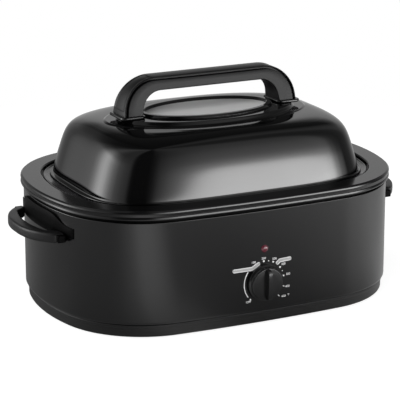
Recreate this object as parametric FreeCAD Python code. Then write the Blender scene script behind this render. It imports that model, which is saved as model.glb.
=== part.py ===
"""Electric roaster oven: an oval countertop roaster with a lift-out pan, a rack and a lift-off domed lid.

Millimetres, +Z up, +X to the right seen from the front, the control knob faces -Y.  Every piece is built
about the vertical axis of the housing; the whole part is then moved along Y so that the frame's origin lies
on the table under the middle of its bounding box.
"""
import FreeCAD, Part
import math
import os

V = FreeCAD.Vector
UP = V(0, 0, 1)
BACK = V(0, 1, 0)
RIGHT = V(1, 0, 0)

# ---- driving dimensions: top ring outline (an oval of tangent arcs) ----
RING_HALF_LENGTH = 280.0
RING_HALF_WIDTH = 196.5
RING_SIDE_RADIUS = 2025.0
RING_END_RADIUS = 330.0
RING_CORNER_RADIUS = 148.0

# ---- heights ----
FOOT_PROUD = 2.0
BASE_HEIGHT = 18.9
SHELL_HEIGHT = 153.6
RIM_GAP = 3.6
RING_DEPTH = 15.2

# ---- insets of the other housing outlines from the ring's outline ----
SHELL_INSET = 4.5
BASE_INSET = 9.0
RING_TOP_WIDTH = 31.0

# ---- sheet and moulding thicknesses ----
SHELL_WALL = 1.0
SHELL_FOOT_EDGE = 5.0
SHELL_TOP_EDGE = 2.0
RING_WALL = 1.5
RING_FOOT_EDGE = 3.2
RING_TOP_EDGE = 2.6
RING_INNER_EDGE = 2.0
BASE_WALL = 2.0
BASE_FOOT_EDGE = 4.0
BASE_TOP_EDGE = 1.2
BASE_FLOOR_BORDER = 30.0
WELL_WALL = 1.0
SHIELD_WALL = 0.8
PAN_WALL = 1.2
LID_WALL = 1.2

# ---- clearances ----
SEAT_GAP = 0.3
SLIP_GAP = 0.2
SHAFT_GAP = 0.05
BACKING_GAP = 0.1
CUT_MARGIN = 1.0
SAME_LEVEL = 0.01
PAN_GAP = 2.5
LEDGE_GAP = 0.5

# ---- cooking pan ----
PAN_RIM_CLEARANCE = 3.0
PAN_RIM_AT_ENDS = 27.0
PAN_RIM_AT_SIDES = 16.3
PAN_DEPTH = 136.0
PAN_DRAFT = 3.0
PAN_FLOOR_RADIUS = 20.0
PAN_BEAD_RADIUS = 1.8
MOUTH_RADIUS = 4.0
MOUTH_LIP = 6.0
FLOOR_BORDER = 60.0
LEDGE_DEPTH = 8.0

# ---- heat well, element, shield and insulation ----
WELL_FLOOR_GAP = 5.0
WELL_FLOOR_RADIUS = 14.0
ELEMENT_RADIUS = 3.2
ELEMENT_STANDOFF = 1.0
ELEMENT_RISE = 16.0
ELEMENT_GAP_HALF = 15.0
ELEMENT_BEND = 10.0
TAIL_DROP = 5.0
TAIL_CLEARANCE = 2.0
CLIP_HALF_WIDTH = 4.0
CLIP_WALL = 0.9
CLIP_SPOTS = (-120.0, -40.0, 40.0, 120.0)
SHIELD_SPACE = 2.0
SHIELD_DROP = 14.0
SHIELD_RISE = 56.0
SHIELD_FLOOR_RADIUS = 4.0
INSULATION_THICKNESS = 12.0
INSULATION_HEIGHT = 84.0

# ---- shell flanges and the spacer under the ring ----
SHELL_TOP_FLANGE = 12.0
SHELL_BOTTOM_FLANGE = 14.0
SPACER_SETBACK = 3.0
SPACER_WIDTH = 7.0

# ---- tie screws, posts and feet ----
TIE_X = 150.0
TIE_Y = 88.0
TIE_RADIUS = 2.5
POST_RADIUS = 6.0
TIE_BOSS_RADIUS = 9.0
TIE_BOSS_HEIGHT = 6.0
TIE_HEAD_RADIUS = 4.5
TIE_HEAD_HEIGHT = 3.0
FOOT_X = 196.0
FOOT_Y = 122.0
FOOT_RADIUS = 11.0
FOOT_STEM_RADIUS = 3.0
FOOT_CAP_RADIUS = 4.5
FOOT_CAP_HEIGHT = 2.0
VENT_LENGTH = 60.0
VENT_WIDTH = 4.0
VENT_PITCH = 12.0
VENT_ROWS = 7

# ---- control knob and thermostat ----
KNOB_HEIGHT = 65.5
KNOB_RADIUS = 27.5
KNOB_FACE_RADIUS = 24.0
KNOB_SKIRT = 5.0
KNOB_DEPTH = 11.0
KNOB_DRAFT = 1.0
KNOB_EDGE = 2.0
KNOB_BAR_RISE = 9.0
KNOB_BAR_WIDTH = 7.5
KNOB_BAR_TAPER = 2.0
KNOB_BAR_SETBACK = 0.5
KNOB_GAP = 1.0
SHAFT_RADIUS = 3.0
SHAFT_FLAT = 0.8
BUSHING_RADIUS = 5.0
BUSHING_LENGTH = 5.0
BUSHING_NUT_RADIUS = 8.0
BUSHING_NUT_HEIGHT = 2.5
NUT_SIDES = 6
THERMOSTAT_WIDTH = 44.0
THERMOSTAT_DEPTH = 24.0
THERMOSTAT_HEIGHT = 38.0
BULB_RADIUS = 2.5
BULB_LENGTH = 60.0
BULB_RISE = 10.0
CAPILLARY_RADIUS = 0.9
CAPILLARY_BEND = 3.5
CAPILLARY_CLEARANCE = 1.0
SADDLE_HALF_WIDTH = 3.0
SADDLE_SPOTS = (0.2, 0.8)

# ---- indicator lamp ----
LAMP_HEIGHT = 117.0
LENS_RADIUS = 5.7
LENS_BARREL_RADIUS = 4.5
LENS_PROUD = 3.2
LENS_BARREL = 5.0
LAMP_BODY_RADIUS = 6.5
LAMP_BODY_LENGTH = 16.0
LAMP_BODY_WALL = 1.0
LAMP_BULB_RADIUS = 2.2
LAMP_BULB_LENGTH = 9.0

# ---- cord gland, terminal block and wiring ----
GLAND_X = 120.0
GLAND_HEIGHT = 48.0
GLAND_RADIUS = 7.0
GLAND_FLANGE_RADIUS = 10.0
GLAND_FLANGE = 3.0
GLAND_PROUD = 6.0
GLAND_BORE_RADIUS = 3.8
GLAND_INSIDE = 8.0
BLOCK_LENGTH = 46.0
BLOCK_WIDTH = 20.0
BLOCK_HEIGHT = 13.0
BLOCK_X = 60.0
BLOCK_SETBACK = 46.0
BLOCK_SCREW_RADIUS = 3.0
BLOCK_SCREW_HEIGHT = 2.0
BLOCK_WAYS = 3
WIRE_RADIUS = 1.6
WIRE_LEVEL = 11.0
WIRE_BEND = 6.0
LEAD_SETBACK = 5.5

# ---- side handles ----
GRIP_LEVEL = 131.0
GRIP_THICKNESS = 16.0
GRIP_PROJECTION = 37.5
GRIP_WIDTH = 19.0
GRIP_END_WIDTH = 7.0
GRIP_BOW = 30.5
GRIP_HALF_LENGTH = 86.0
GRIP_EDGE = 2.5
PLATE_HALF_WIDTH = 98.0
PLATE_TOP_HALF_WIDTH = 52.0
PLATE_DROP = 7.0
PLATE_END_HEIGHT = 15.0
PLATE_HEIGHT = 31.0
PLATE_THICKNESS = 4.0
LEG_WIDTH = 11.0
LEG_SETBACK = 1.0
SIDE_SCREW_Y = 62.0
SIDE_SCREW_HEIGHT = 148.0
SIDE_SCREW_RADIUS = 1.6
SIDE_SCREW_HEAD_RADIUS = 3.6
SIDE_SCREW_HEAD = 2.2
SIDE_SCREW_BITE = 2.5
BACKING_HALF_WIDTH = 76.0
BACKING_HEIGHT = 18.0
BACKING_WALL = 1.2

# ---- lid ----
LID_RIM_SETBACK = 17.0
LID_BEAD_CLEARANCE = 0.6
LID_FLANGE_AT_ENDS = 14.0
LID_FLANGE_AT_SIDES = 5.8
LID_FLANGE_POWER = 3.5
LID_DOME_HEIGHT = 96.0
LID_END_DRAFT = 19.4
LID_SIDE_DRAFT = 11.4
LID_BEND_POWER = 9.0
LID_BEND_SHARE = 0.344
LID_OUTLINE_POWER = 4.0
LID_TOP_POWER = 2.3
LID_TOP_SHARE = 0.766
LID_WALL_SHARE = 0.55
LID_WALL_STEPS = 4
LID_CROWN_STEPS = 10
OUTLINE_POINTS = 60
LOWER_STEP_HALF_LENGTH = 165.0
LOWER_STEP_HALF_WIDTH = 92.0
LOWER_STEP_RISE = 0.9
UPPER_STEP_HALF_LENGTH = 146.0
UPPER_STEP_HALF_WIDTH = 81.0
UPPER_STEP_RISE = 5.3
STEP_SLOPE = 5.0
LOWER_STEP_SINK = 6.0

# ---- lid window ----
WINDOW_HALF_LENGTH = 100.0
WINDOW_HALF_WIDTH = 54.0
GLASS_LAP = 3.0
GLASS_THICKNESS = 3.0
GLASS_PROUD = 0.5
TRIM_WIDTH = 9.0
TRIM_HEIGHT = 4.0
TRIM_EDGE = 1.8
RETAINER_HEIGHT = 2.0
SEAL_HEIGHT = 0.5

# ---- lid handle ----
HANDLE_TRIM_CLEARANCE = 4.5
HANDLE_LEG = 30.0
HANDLE_OPENING = 34.2
HANDLE_BAR = 21.5
HANDLE_OUTER_RADIUS = 52.0
HANDLE_INNER_RADIUS = 30.0
HANDLE_LEG_LEAN = 5.5
HANDLE_FOOT_HALF_DEPTH = 23.0
HANDLE_BAR_HALF_DEPTH = 16.0
HANDLE_EDGE = 3.0
COLLAR_THICKNESS = 4.5
COLLAR_INNER_MARGIN = 3.0
COLLAR_OUTER_MARGIN = 6.0
COLLAR_SIDE_MARGIN = 4.5
COLLAR_CORNER = 8.0
COLLAR_EDGE = 1.5
HANDLE_SCREW_RADIUS = 2.5
HANDLE_SCREW_DEPTH = 12.0
HANDLE_SCREW_HEAD_RADIUS = 5.0
HANDLE_SCREW_HEAD = 3.0
HANDLE_SCREW_SPREAD = 11.0
WASHER_RADIUS = 7.0
WASHER_HEIGHT = 1.2

# ---- roasting rack ----
RACK_WIRE = 2.5
RACK_CROSS_WIRE = 1.6
RACK_LOOP_WIRE = 2.1
RACK_FOOT_WIRE = 2.0
RACK_SETBACK = 14.0
RACK_LEVEL = 16.0
RACK_BARS = 13
RACK_END_BAR = 40.0
RACK_BAR_DROP = 1.0
RACK_FOOT_SETBACK = 22.0
RACK_FOOT_BAR = 2
RACK_HANDLE_HALF_WIDTH = 42.0
RACK_HANDLE_RISE = 62.0
RACK_HANDLE_BEND = 14.0

# ---- places that follow from the sizes above ----
BASE_TOP = FOOT_PROUD + BASE_HEIGHT
SHELL_TOP = BASE_TOP + SHELL_HEIGHT
RING_BOTTOM = SHELL_TOP + RIM_GAP
RING_TOP = RING_BOTTOM + RING_DEPTH
LEDGE_TOP = RING_TOP - LEDGE_DEPTH
WELL_FLANGE_TOP = LEDGE_TOP + WELL_WALL
PAN_RIM_MIDDLE = WELL_FLANGE_TOP + SEAT_GAP + PAN_BEAD_RADIUS
PAN_RIM_TOP = PAN_RIM_MIDDLE + PAN_WALL / 2
PAN_FLOOR = PAN_RIM_TOP - PAN_DEPTH
PAN_FLOOR_UNDER = PAN_FLOOR - PAN_WALL
WELL_OUTSET = PAN_WALL + PAN_GAP
WELL_OUTSIDE = WELL_OUTSET + WELL_WALL
WELL_FLOOR = PAN_FLOOR_UNDER - WELL_FLOOR_GAP
WELL_FLOOR_UNDER = WELL_FLOOR - WELL_WALL
ELEMENT_OUTSET = WELL_OUTSIDE + ELEMENT_STANDOFF + ELEMENT_RADIUS
ELEMENT_LEVEL = WELL_FLOOR + ELEMENT_RISE
SHIELD_INSIDE = ELEMENT_OUTSET + ELEMENT_RADIUS + SHIELD_SPACE
SHIELD_OUTSIDE = SHIELD_INSIDE + SHIELD_WALL
SHIELD_FLOOR = WELL_FLOOR_UNDER - SHIELD_DROP
SHIELD_TOP = SHIELD_FLOOR + SHIELD_RISE
INSULATION_TOP = WELL_FLANGE_TOP - MOUTH_RADIUS - LEDGE_GAP
INSULATION_LOW = INSULATION_TOP - INSULATION_HEIGHT
BASE_FLOOR_TOP = FOOT_PROUD + BASE_WALL
BOSS_TOP = FOOT_PROUD + TIE_BOSS_HEIGHT
PANEL_Y = -(RING_HALF_WIDTH - SHELL_INSET)
PANEL_INSIDE_Y = PANEL_Y + SHELL_WALL
THERMOSTAT_BACK_Y = PANEL_INSIDE_Y + THERMOSTAT_DEPTH
NECK_END_Y = PANEL_INSIDE_Y - BUSHING_LENGTH
KNOB_BACK_Y = PANEL_Y - KNOB_GAP
KNOB_FACE_Y = KNOB_BACK_Y - KNOB_DEPTH
KNOB_TIP_Y = KNOB_FACE_Y - KNOB_BAR_RISE
LID_FLANGE_UNDER = PAN_RIM_TOP + SEAT_GAP
LID_FLANGE_TOP = LID_FLANGE_UNDER + LID_WALL
LID_CROWN_SHARE = (1 - LID_TOP_SHARE ** (1 / LID_BEND_SHARE)) ** (1 / LID_BEND_POWER)
LID_CROWN_TOP = LID_FLANGE_TOP + LID_DOME_HEIGHT * LID_CROWN_SHARE
LOWER_STEP_TOP = LID_CROWN_TOP + LOWER_STEP_RISE
LID_TOP = LOWER_STEP_TOP + UPPER_STEP_RISE
LID_UNDER = LID_TOP - LID_WALL
GLASS_TOP = LID_TOP + GLASS_PROUD
GLASS_UNDER = GLASS_TOP - GLASS_THICKNESS
HANDLE_FOOT = LID_TOP + COLLAR_THICKNESS
HANDLE_INNER_X = WINDOW_HALF_LENGTH + TRIM_WIDTH + HANDLE_TRIM_CLEARANCE
HANDLE_OUTER_X = HANDLE_INNER_X + HANDLE_LEG
HANDLE_UNDER = HANDLE_FOOT + HANDLE_OPENING
HANDLE_TOP = HANDLE_UNDER + HANDLE_BAR


# ---- outlines and shared shapes ----
class Outline:
    """A tangent oval of eight arcs: two long sides, two ends and four corners."""

    def __init__(self, half_length, half_width, side_radius, end_radius, corner_radius):
        self.values = (half_length, half_width, side_radius, end_radius, corner_radius)

    def inset(self, distance):
        return Outline(*[value - distance for value in self.values])

    def outset(self, distance):
        return self.inset(-distance)

    def drawn_in(self, at_ends, at_sides):
        """An outline further in by one distance at the ends and another along the sides."""
        half_length, half_width, side_radius, end_radius, corner_radius = self.values
        return Outline(half_length - at_ends, half_width - at_sides, side_radius - at_sides,
                       end_radius - at_ends, corner_radius - at_sides)

    def corner(self):
        """Centre of the first-quadrant corner arc, which touches the side arc and the end arc inside."""
        half_length, half_width, side_radius, end_radius, corner_radius = self.values
        side = V(0, half_width - side_radius, 0)
        end = V(half_length - end_radius, 0, 0)
        to_end = end - side
        reach_side = side_radius - corner_radius
        reach_end = end_radius - corner_radius
        along = (reach_side ** 2 - reach_end ** 2 + to_end.Length ** 2) / (2 * to_end.Length)
        across = math.sqrt(reach_side ** 2 - along ** 2)
        unit = V(to_end).normalize()
        return side + unit * along + V(unit.y, -unit.x, 0) * across

    def arcs(self):
        """Centre, radius, start and end angle in degrees of each arc, anticlockwise from the right end."""
        half_length, half_width, side_radius, end_radius, corner_radius = self.values
        corner = self.corner()
        side = V(0, half_width - side_radius, 0)
        end = V(half_length - end_radius, 0, 0)
        low = math.degrees(math.atan2(corner.y - end.y, corner.x - end.x))
        high = math.degrees(math.atan2(corner.y - side.y, corner.x - side.x))
        left = V(-corner.x, corner.y, 0)
        return [
            (end, end_radius, -low, low),
            (corner, corner_radius, low, high),
            (side, side_radius, high, 180 - high),
            (left, corner_radius, 180 - high, 180 - low),
            (-end, end_radius, 180 - low, 180 + low),
            (-corner, corner_radius, 180 + low, 180 + high),
            (-side, side_radius, 180 + high, 360 - high),
            (-left, corner_radius, 360 - high, 360 - low),
        ]

    def edges(self, z):
        made = []
        for centre, radius, start, stop in self.arcs():
            turn = [math.radians(start), math.radians((start + stop) / 2), math.radians(stop)]
            points = [V(centre.x + radius * math.cos(a), centre.y + radius * math.sin(a), z) for a in turn]
            made.append(Part.Arc(*points).toShape())
        return made

    def wire(self, z):
        return Part.Wire(self.edges(z))

    def prism(self, low, high):
        return Part.Face(self.wire(low)).extrude(UP * (high - low))

    def point(self, x, side, z):
        """The point of the long side, front (-1) or back (1), at a given x."""
        half_width, side_radius = self.values[1], self.values[2]
        y = half_width - side_radius + math.sqrt(side_radius ** 2 - x ** 2)
        return V(x, side * y, z)

    def end_x(self, y):
        """How far the end arc reaches along X at a given y."""
        half_length, end_radius = self.values[0], self.values[3]
        return half_length - end_radius + math.sqrt(end_radius ** 2 - y ** 2)


def band(outer, inner, low, high):
    """The upright wall between two outlines."""
    return outer.prism(low, high).cut(inner.prism(low - CUT_MARGIN, high + CUT_MARGIN))


def rounded_face(corners):
    """A flat face in the XZ plane from (x, z, radius) corners; a radius above 0 rounds that corner."""
    edges = []
    ends = []
    count = len(corners)
    for index, (x, z, radius) in enumerate(corners):
        here = V(x, 0, z)
        before = V(corners[index - 1][0], 0, corners[index - 1][1])
        after = V(corners[(index + 1) % count][0], 0, corners[(index + 1) % count][1])
        if radius <= 0:
            ends.append((here, here, None))
            continue
        back = (before - here).normalize()
        on = (after - here).normalize()
        half = back.getAngle(on) / 2
        reach = radius / math.tan(half)
        middle = here + (back + on).normalize() * (radius / math.sin(half) - radius)
        ends.append((here + back * reach, here + on * reach, middle))
    for index, (start, stop, middle) in enumerate(ends):
        if middle is not None:
            edges.append(Part.Arc(start, middle, stop).toShape())
        following = ends[(index + 1) % count][0]
        if (following - stop).Length > 1e-6:
            edges.append(Part.LineSegment(stop, following).toShape())
    return Part.Face(Part.Wire(edges))


def carried(outline, face):
    """A section carried round an outline.  The section's x is the distance outwards from the outline."""
    pieces = []
    for centre, radius, start, stop in outline.arcs():
        angle = math.radians(start)
        section = face.copy()
        spot = V(centre.x + radius * math.cos(angle), centre.y + radius * math.sin(angle), 0)
        section.Placement = FreeCAD.Placement(spot, FreeCAD.Rotation(UP, start))
        pieces.append(section.revolve(centre, UP, stop - start))
    return pieces[0].multiFuse(pieces[1:]).removeSplitter()


def joined(shapes):
    return shapes[0].multiFuse(shapes[1:]).removeSplitter()


def group(shapes):
    return Part.makeCompound(shapes)


def rod(start, direction, radius, length):
    return Part.makeCylinder(radius, length, start, direction)


def block(low, high):
    size = high - low
    return Part.makeBox(size.x, size.y, size.z, low)


def tube(start, direction, outer, inner, length):
    body = rod(start, direction, outer, length)
    return body.cut(rod(start - direction * CUT_MARGIN, direction, inner, length + 2 * CUT_MARGIN))


def bent_path(points, bend):
    """Straight runs joined by tangent arcs of one radius."""
    edges = []
    start = points[0]
    for index in range(1, len(points) - 1):
        here = points[index]
        back = (points[index - 1] - here).normalize()
        on = (points[index + 1] - here).normalize()
        half = back.getAngle(on) / 2
        reach = bend / math.tan(half)
        middle = here + (back + on).normalize() * (bend / math.sin(half) - bend)
        edges.append(Part.LineSegment(start, here + back * reach).toShape())
        edges.append(Part.Arc(here + back * reach, middle, here + on * reach).toShape())
        start = here + on * reach
    edges.append(Part.LineSegment(start, points[-1]).toShape())
    return Part.Wire(edges)


def along(path, radius):
    """A round bar that follows a path of lines and arcs."""
    first = path.OrderedEdges[0]
    direction = first.tangentAt(first.FirstParameter)
    start = first.valueAt(first.FirstParameter)
    section = Part.Wire(Part.makeCircle(radius, start, direction))
    return path.makePipeShell([section], True, True)


def corners_of(x, y):
    return [V(sx * x, sy * y, 0) for sx in (-1, 1) for sy in (-1, 1)]


def raised(point, z):
    return V(point.x, point.y, z)


RING = Outline(RING_HALF_LENGTH, RING_HALF_WIDTH, RING_SIDE_RADIUS, RING_END_RADIUS, RING_CORNER_RADIUS)
SHELL = RING.inset(SHELL_INSET)
SHELL_INSIDE = SHELL.inset(SHELL_WALL)
BASE = RING.inset(BASE_INSET)
RECESS = RING.inset(RING_TOP_WIDTH)
RIM = RECESS.inset(PAN_RIM_CLEARANCE)
PAN = RIM.drawn_in(PAN_RIM_AT_ENDS, PAN_RIM_AT_SIDES)
WELL = PAN.outset(WELL_OUTSET)
WELL_BACK = PAN.outset(WELL_OUTSIDE)
ELEMENT = PAN.outset(ELEMENT_OUTSET)
TIES = corners_of(TIE_X, TIE_Y)
LID_FLANGE_HALF_LENGTH = RIM.values[0] - LID_RIM_SETBACK
LID_FLANGE_HALF_WIDTH = RIM.values[1] - 2 * PAN_BEAD_RADIUS - LID_BEAD_CLEARANCE
LID_HALF_LENGTH = LID_FLANGE_HALF_LENGTH - LID_FLANGE_AT_ENDS
LID_HALF_WIDTH = LID_FLANGE_HALF_WIDTH - LID_FLANGE_AT_SIDES
REAR_REACH = max(RING_HALF_WIDTH, SHELL.point(GLAND_X, 1, 0).y + GLAND_PROUD)
FRAME_SHIFT = V(0, (-KNOB_TIP_Y - REAR_REACH) / 2, 0)


# ---- housing ----
def outer_shell():
    """Painted steel wrapper, with a narrow flange turned in at the top and a wide one at the bottom."""
    top_end = -SHELL_TOP_FLANGE
    bottom_end = -SHELL_BOTTOM_FLANGE
    wall = SHELL_WALL
    section = rounded_face([
        (bottom_end, BASE_TOP, 0), (0, BASE_TOP, SHELL_FOOT_EDGE), (0, SHELL_TOP, SHELL_TOP_EDGE),
        (top_end, SHELL_TOP, 0), (top_end, SHELL_TOP - wall, 0),
        (-wall, SHELL_TOP - wall, SHELL_TOP_EDGE - wall),
        (-wall, BASE_TOP + wall, SHELL_FOOT_EDGE - wall), (bottom_end, BASE_TOP + wall, 0)])
    shell = carried(SHELL, section)
    for hole in shell_holes():
        shell = shell.cut(hole)
    return shell


def shell_holes():
    """Holes for the thermostat's neck, the lamp, the cord gland and the side handles' screws."""
    panel_start = PANEL_Y - CUT_MARGIN
    through = SHELL_WALL + 2 * CUT_MARGIN
    gland = SHELL.point(GLAND_X, 1, GLAND_HEIGHT)
    holes = [
        rod(V(0, panel_start, KNOB_HEIGHT), BACK, BUSHING_RADIUS + SLIP_GAP, through),
        rod(V(0, panel_start, LAMP_HEIGHT), BACK, LENS_BARREL_RADIUS + SLIP_GAP, through),
        rod(gland - BACK * GLAND_INSIDE, BACK, GLAND_RADIUS + SLIP_GAP, GLAND_INSIDE + GLAND_PROUD)]
    for side in (-1, 1):
        for spot, out in side_screw_lines(side):
            holes.append(rod(spot + out * CUT_MARGIN, -out, SIDE_SCREW_RADIUS + SLIP_GAP, through))
    return holes


def rim_ring():
    """Folded steel ring that caps the housing: outer skirt, flat top, recess wall and the pan's ledge."""
    wall = RING_WALL
    foot = -(SHELL_INSET + SPACER_SETBACK + SPACER_WIDTH)
    inner = -RING_TOP_WIDTH
    section = rounded_face([
        (foot, RING_BOTTOM, 0), (0, RING_BOTTOM, RING_FOOT_EDGE), (0, RING_TOP, RING_TOP_EDGE),
        (inner, RING_TOP, RING_INNER_EDGE), (inner, LEDGE_TOP - wall, 0), (inner + wall, LEDGE_TOP - wall, 0),
        (inner + wall, RING_TOP - wall, RING_INNER_EDGE - wall),
        (-wall, RING_TOP - wall, RING_TOP_EDGE - wall),
        (-wall, RING_BOTTOM + wall, RING_FOOT_EDGE - wall), (foot, RING_BOTTOM + wall, 0)])
    opening = WELL.outset(WELL_WALL + MOUTH_RADIUS)
    ledge = band(RECESS.outset(wall), opening, LEDGE_TOP - wall, LEDGE_TOP)
    return joined([carried(RING, section), ledge])


def rim_spacer():
    """Heat-resistant spacer between the shell's top flange and the ring; it shows as the dark gap."""
    outer = SHELL.inset(SPACER_SETBACK)
    return band(outer, outer.inset(SPACER_WIDTH), SHELL_TOP, RING_BOTTOM)


def base_pan():
    """Moulded bottom tray with vents, bosses for the tie screws and holes for the feet."""
    wall = BASE_WALL
    end = BASE_INSET - SHELL_INSET - SHELL_BOTTOM_FLANGE
    section = rounded_face([
        (-BASE_FLOOR_BORDER, FOOT_PROUD, 0), (0, FOOT_PROUD, BASE_FOOT_EDGE), (0, BASE_TOP, BASE_TOP_EDGE),
        (end, BASE_TOP, 0), (end, BASE_TOP - wall, 0), (-wall, BASE_TOP - wall, 0),
        (-wall, BASE_FLOOR_TOP, BASE_FOOT_EDGE - wall), (-BASE_FLOOR_BORDER, BASE_FLOOR_TOP, 0)])
    floor = BASE.inset(BASE_FLOOR_BORDER).prism(FOOT_PROUD, BASE_FLOOR_TOP)
    bosses = [rod(raised(spot, FOOT_PROUD), UP, TIE_BOSS_RADIUS, TIE_BOSS_HEIGHT) for spot in TIES]
    tray = joined([carried(BASE, section), floor] + bosses)
    for spot in TIES:
        start = raised(spot, FOOT_PROUD)
        tray = tray.cut(rod(start, UP, TIE_HEAD_RADIUS + SLIP_GAP, TIE_HEAD_HEIGHT))
        tray = tray.cut(rod(start, UP, TIE_RADIUS + SLIP_GAP, TIE_BOSS_HEIGHT + CUT_MARGIN))
    for spot in corners_of(FOOT_X, FOOT_Y):
        start = raised(spot, FOOT_PROUD - CUT_MARGIN)
        tray = tray.cut(rod(start, UP, FOOT_STEM_RADIUS + SLIP_GAP, BASE_WALL + 2 * CUT_MARGIN))
    slots = []
    for row in range(VENT_ROWS):
        y = (row - (VENT_ROWS - 1) / 2) * VENT_PITCH
        low = V(-VENT_LENGTH / 2, y - VENT_WIDTH / 2, FOOT_PROUD - CUT_MARGIN)
        slots.append(block(low, V(VENT_LENGTH / 2, y + VENT_WIDTH / 2, BASE_FLOOR_TOP + CUT_MARGIN)))
    return tray.cut(slots[0].multiFuse(slots[1:]))


def rubber_feet():
    """Four push-in feet; each has a pad under the tray, a stem and a cap above its floor."""
    feet = []
    for spot in corners_of(FOOT_X, FOOT_Y):
        pad = rod(raised(spot, 0), UP, FOOT_RADIUS, FOOT_PROUD)
        stem = rod(raised(spot, FOOT_PROUD), UP, FOOT_STEM_RADIUS, BASE_WALL)
        cap = rod(raised(spot, BASE_FLOOR_TOP), UP, FOOT_CAP_RADIUS, FOOT_CAP_HEIGHT)
        feet.append(joined([pad, stem, cap]))
    return group(feet)


def base_posts():
    """Tubes between the tray's bosses and the heat shield."""
    length = SHIELD_FLOOR - SHIELD_WALL - BOSS_TOP
    spots = [raised(spot, BOSS_TOP) for spot in TIES]
    return group([tube(spot, UP, POST_RADIUS, TIE_RADIUS + SLIP_GAP, length) for spot in spots])


def well_spacers():
    """Threaded tubes welded under the heat well, between its floor and the heat shield."""
    length = WELL_FLOOR_UNDER - SHIELD_FLOOR
    return group([tube(raised(spot, SHIELD_FLOOR), UP, POST_RADIUS, TIE_RADIUS, length) for spot in TIES])


def tie_screws():
    """Four screws that pull the tray, posts, shield and well together and so clamp the whole housing."""
    screws = []
    length = WELL_FLOOR_UNDER - LEDGE_GAP - FOOT_PROUD - TIE_HEAD_HEIGHT
    for spot in TIES:
        head = rod(raised(spot, FOOT_PROUD), UP, TIE_HEAD_RADIUS, TIE_HEAD_HEIGHT)
        shank = rod(raised(spot, FOOT_PROUD + TIE_HEAD_HEIGHT), UP, TIE_RADIUS, length)
        screws.append(joined([head, shank]))
    return group(screws)


# ---- heating ----
def dish(outline, floor, rim_top, wall, floor_radius, draft):
    """A deep dish carried round an outline: flat rim out to the rim outline, wall, rounded foot and floor."""
    foot = -draft
    under = rim_top - wall
    section = rounded_face([
        (MOUTH_LIP, rim_top, 0), (0, rim_top, MOUTH_RADIUS), (foot, floor, floor_radius),
        (-FLOOR_BORDER, floor, 0), (-FLOOR_BORDER, floor - wall, 0),
        (foot + wall, floor - wall, floor_radius + wall),
        (wall, under, MOUTH_RADIUS - wall), (MOUTH_LIP, under, 0)])
    bottom = outline.inset(FLOOR_BORDER).prism(floor - wall, floor)
    rim = band(RIM.inset(PAN_BEAD_RADIUS), outline.outset(MOUTH_LIP), under, rim_top)
    return [carried(outline, section), bottom, rim]


def heat_well():
    """Deep-drawn steel liner that the pan hangs in; its flange lies on the ring's ledge."""
    return joined(dish(WELL, WELL_FLOOR, WELL_FLANGE_TOP, WELL_WALL, WELL_FLOOR_RADIUS, 0.0))


def heat_shield():
    """Bright steel tray round the lower well; it throws the element's heat back and stands on the posts."""
    wall = SHIELD_WALL
    low = SHIELD_FLOOR - wall
    border = -FLOOR_BORDER
    section = rounded_face([
        (SHIELD_OUTSIDE, SHIELD_TOP, 0), (SHIELD_INSIDE, SHIELD_TOP, 0),
        (SHIELD_INSIDE, SHIELD_FLOOR, SHIELD_FLOOR_RADIUS), (border, SHIELD_FLOOR, 0), (border, low, 0),
        (SHIELD_OUTSIDE, low, SHIELD_FLOOR_RADIUS + wall)])
    floor = PAN.inset(FLOOR_BORDER).prism(low, SHIELD_FLOOR)
    shield = joined([carried(PAN, section), floor])
    for spot in TIES:
        start = raised(spot, low - CUT_MARGIN)
        shield = shield.cut(rod(start, UP, TIE_RADIUS + SLIP_GAP, wall + 2 * CUT_MARGIN))
    for x in (-ELEMENT_GAP_HALF, ELEMENT_GAP_HALF):
        spot = ELEMENT.point(x, 1, low - CUT_MARGIN)
        shield = shield.cut(rod(spot, UP, ELEMENT_RADIUS + TAIL_CLEARANCE, wall + SHIELD_DROP))
    bulb = bulb_start()
    hole = V(bulb.x + BULB_LENGTH + 2 * CAPILLARY_BEND, bulb.y, bulb.z)
    return shield.cut(rod(hole, -BACK, CAPILLARY_RADIUS + CAPILLARY_CLEARANCE, SHIELD_OUTSIDE))


def insulation_wrap():
    """Mineral-fibre blanket round the upper well."""
    return band(WELL_BACK.outset(INSULATION_THICKNESS), WELL_BACK, INSULATION_LOW, INSULATION_TOP)


def element_path():
    """Round the well from the back, with both ends turned down at a gap in the middle of the back."""
    ring = ELEMENT.edges(ELEMENT_LEVEL)
    half_width, side_radius = ELEMENT.values[1], ELEMENT.values[2]
    centre = V(0, half_width - side_radius, ELEMENT_LEVEL)
    reach = ELEMENT_GAP_HALF + ELEMENT_BEND
    first = ELEMENT.point(reach, 1, ELEMENT_LEVEL)
    last = ELEMENT.point(-reach, 1, ELEMENT_LEVEL)
    joint = ring[1].valueAt(ring[1].LastParameter)
    mirror_joint = V(-joint.x, joint.y, joint.z)
    side_edges = []
    for start, stop in ((last, mirror_joint), (joint, first)):
        middle = centre + ((start + stop) / 2 - centre).normalize() * side_radius
        side_edges.append(Part.Arc(start, middle, stop).toShape())
    tails = element_tail(first, centre, -1) + element_tail(last, centre, 1)
    return Part.Wire(Part.__sortEdges__(side_edges + ring[3:8] + ring[0:2] + tails))


def element_tail(spot, centre, side):
    """A quarter bend from the ring into a straight drop through the shield's floor."""
    radial = (spot - centre).normalize()
    heading = V(-radial.y, radial.x, 0) * -side
    turn = spot - UP * ELEMENT_BEND
    end = turn + heading * ELEMENT_BEND
    middle = turn + (heading + UP).normalize() * ELEMENT_BEND
    drop = raised(end, SHIELD_FLOOR - SHIELD_WALL - TAIL_DROP)
    return [Part.Arc(spot, middle, end).toShape(), Part.LineSegment(end, drop).toShape()]


def heating_element():
    return along(element_path(), ELEMENT_RADIUS)


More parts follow.
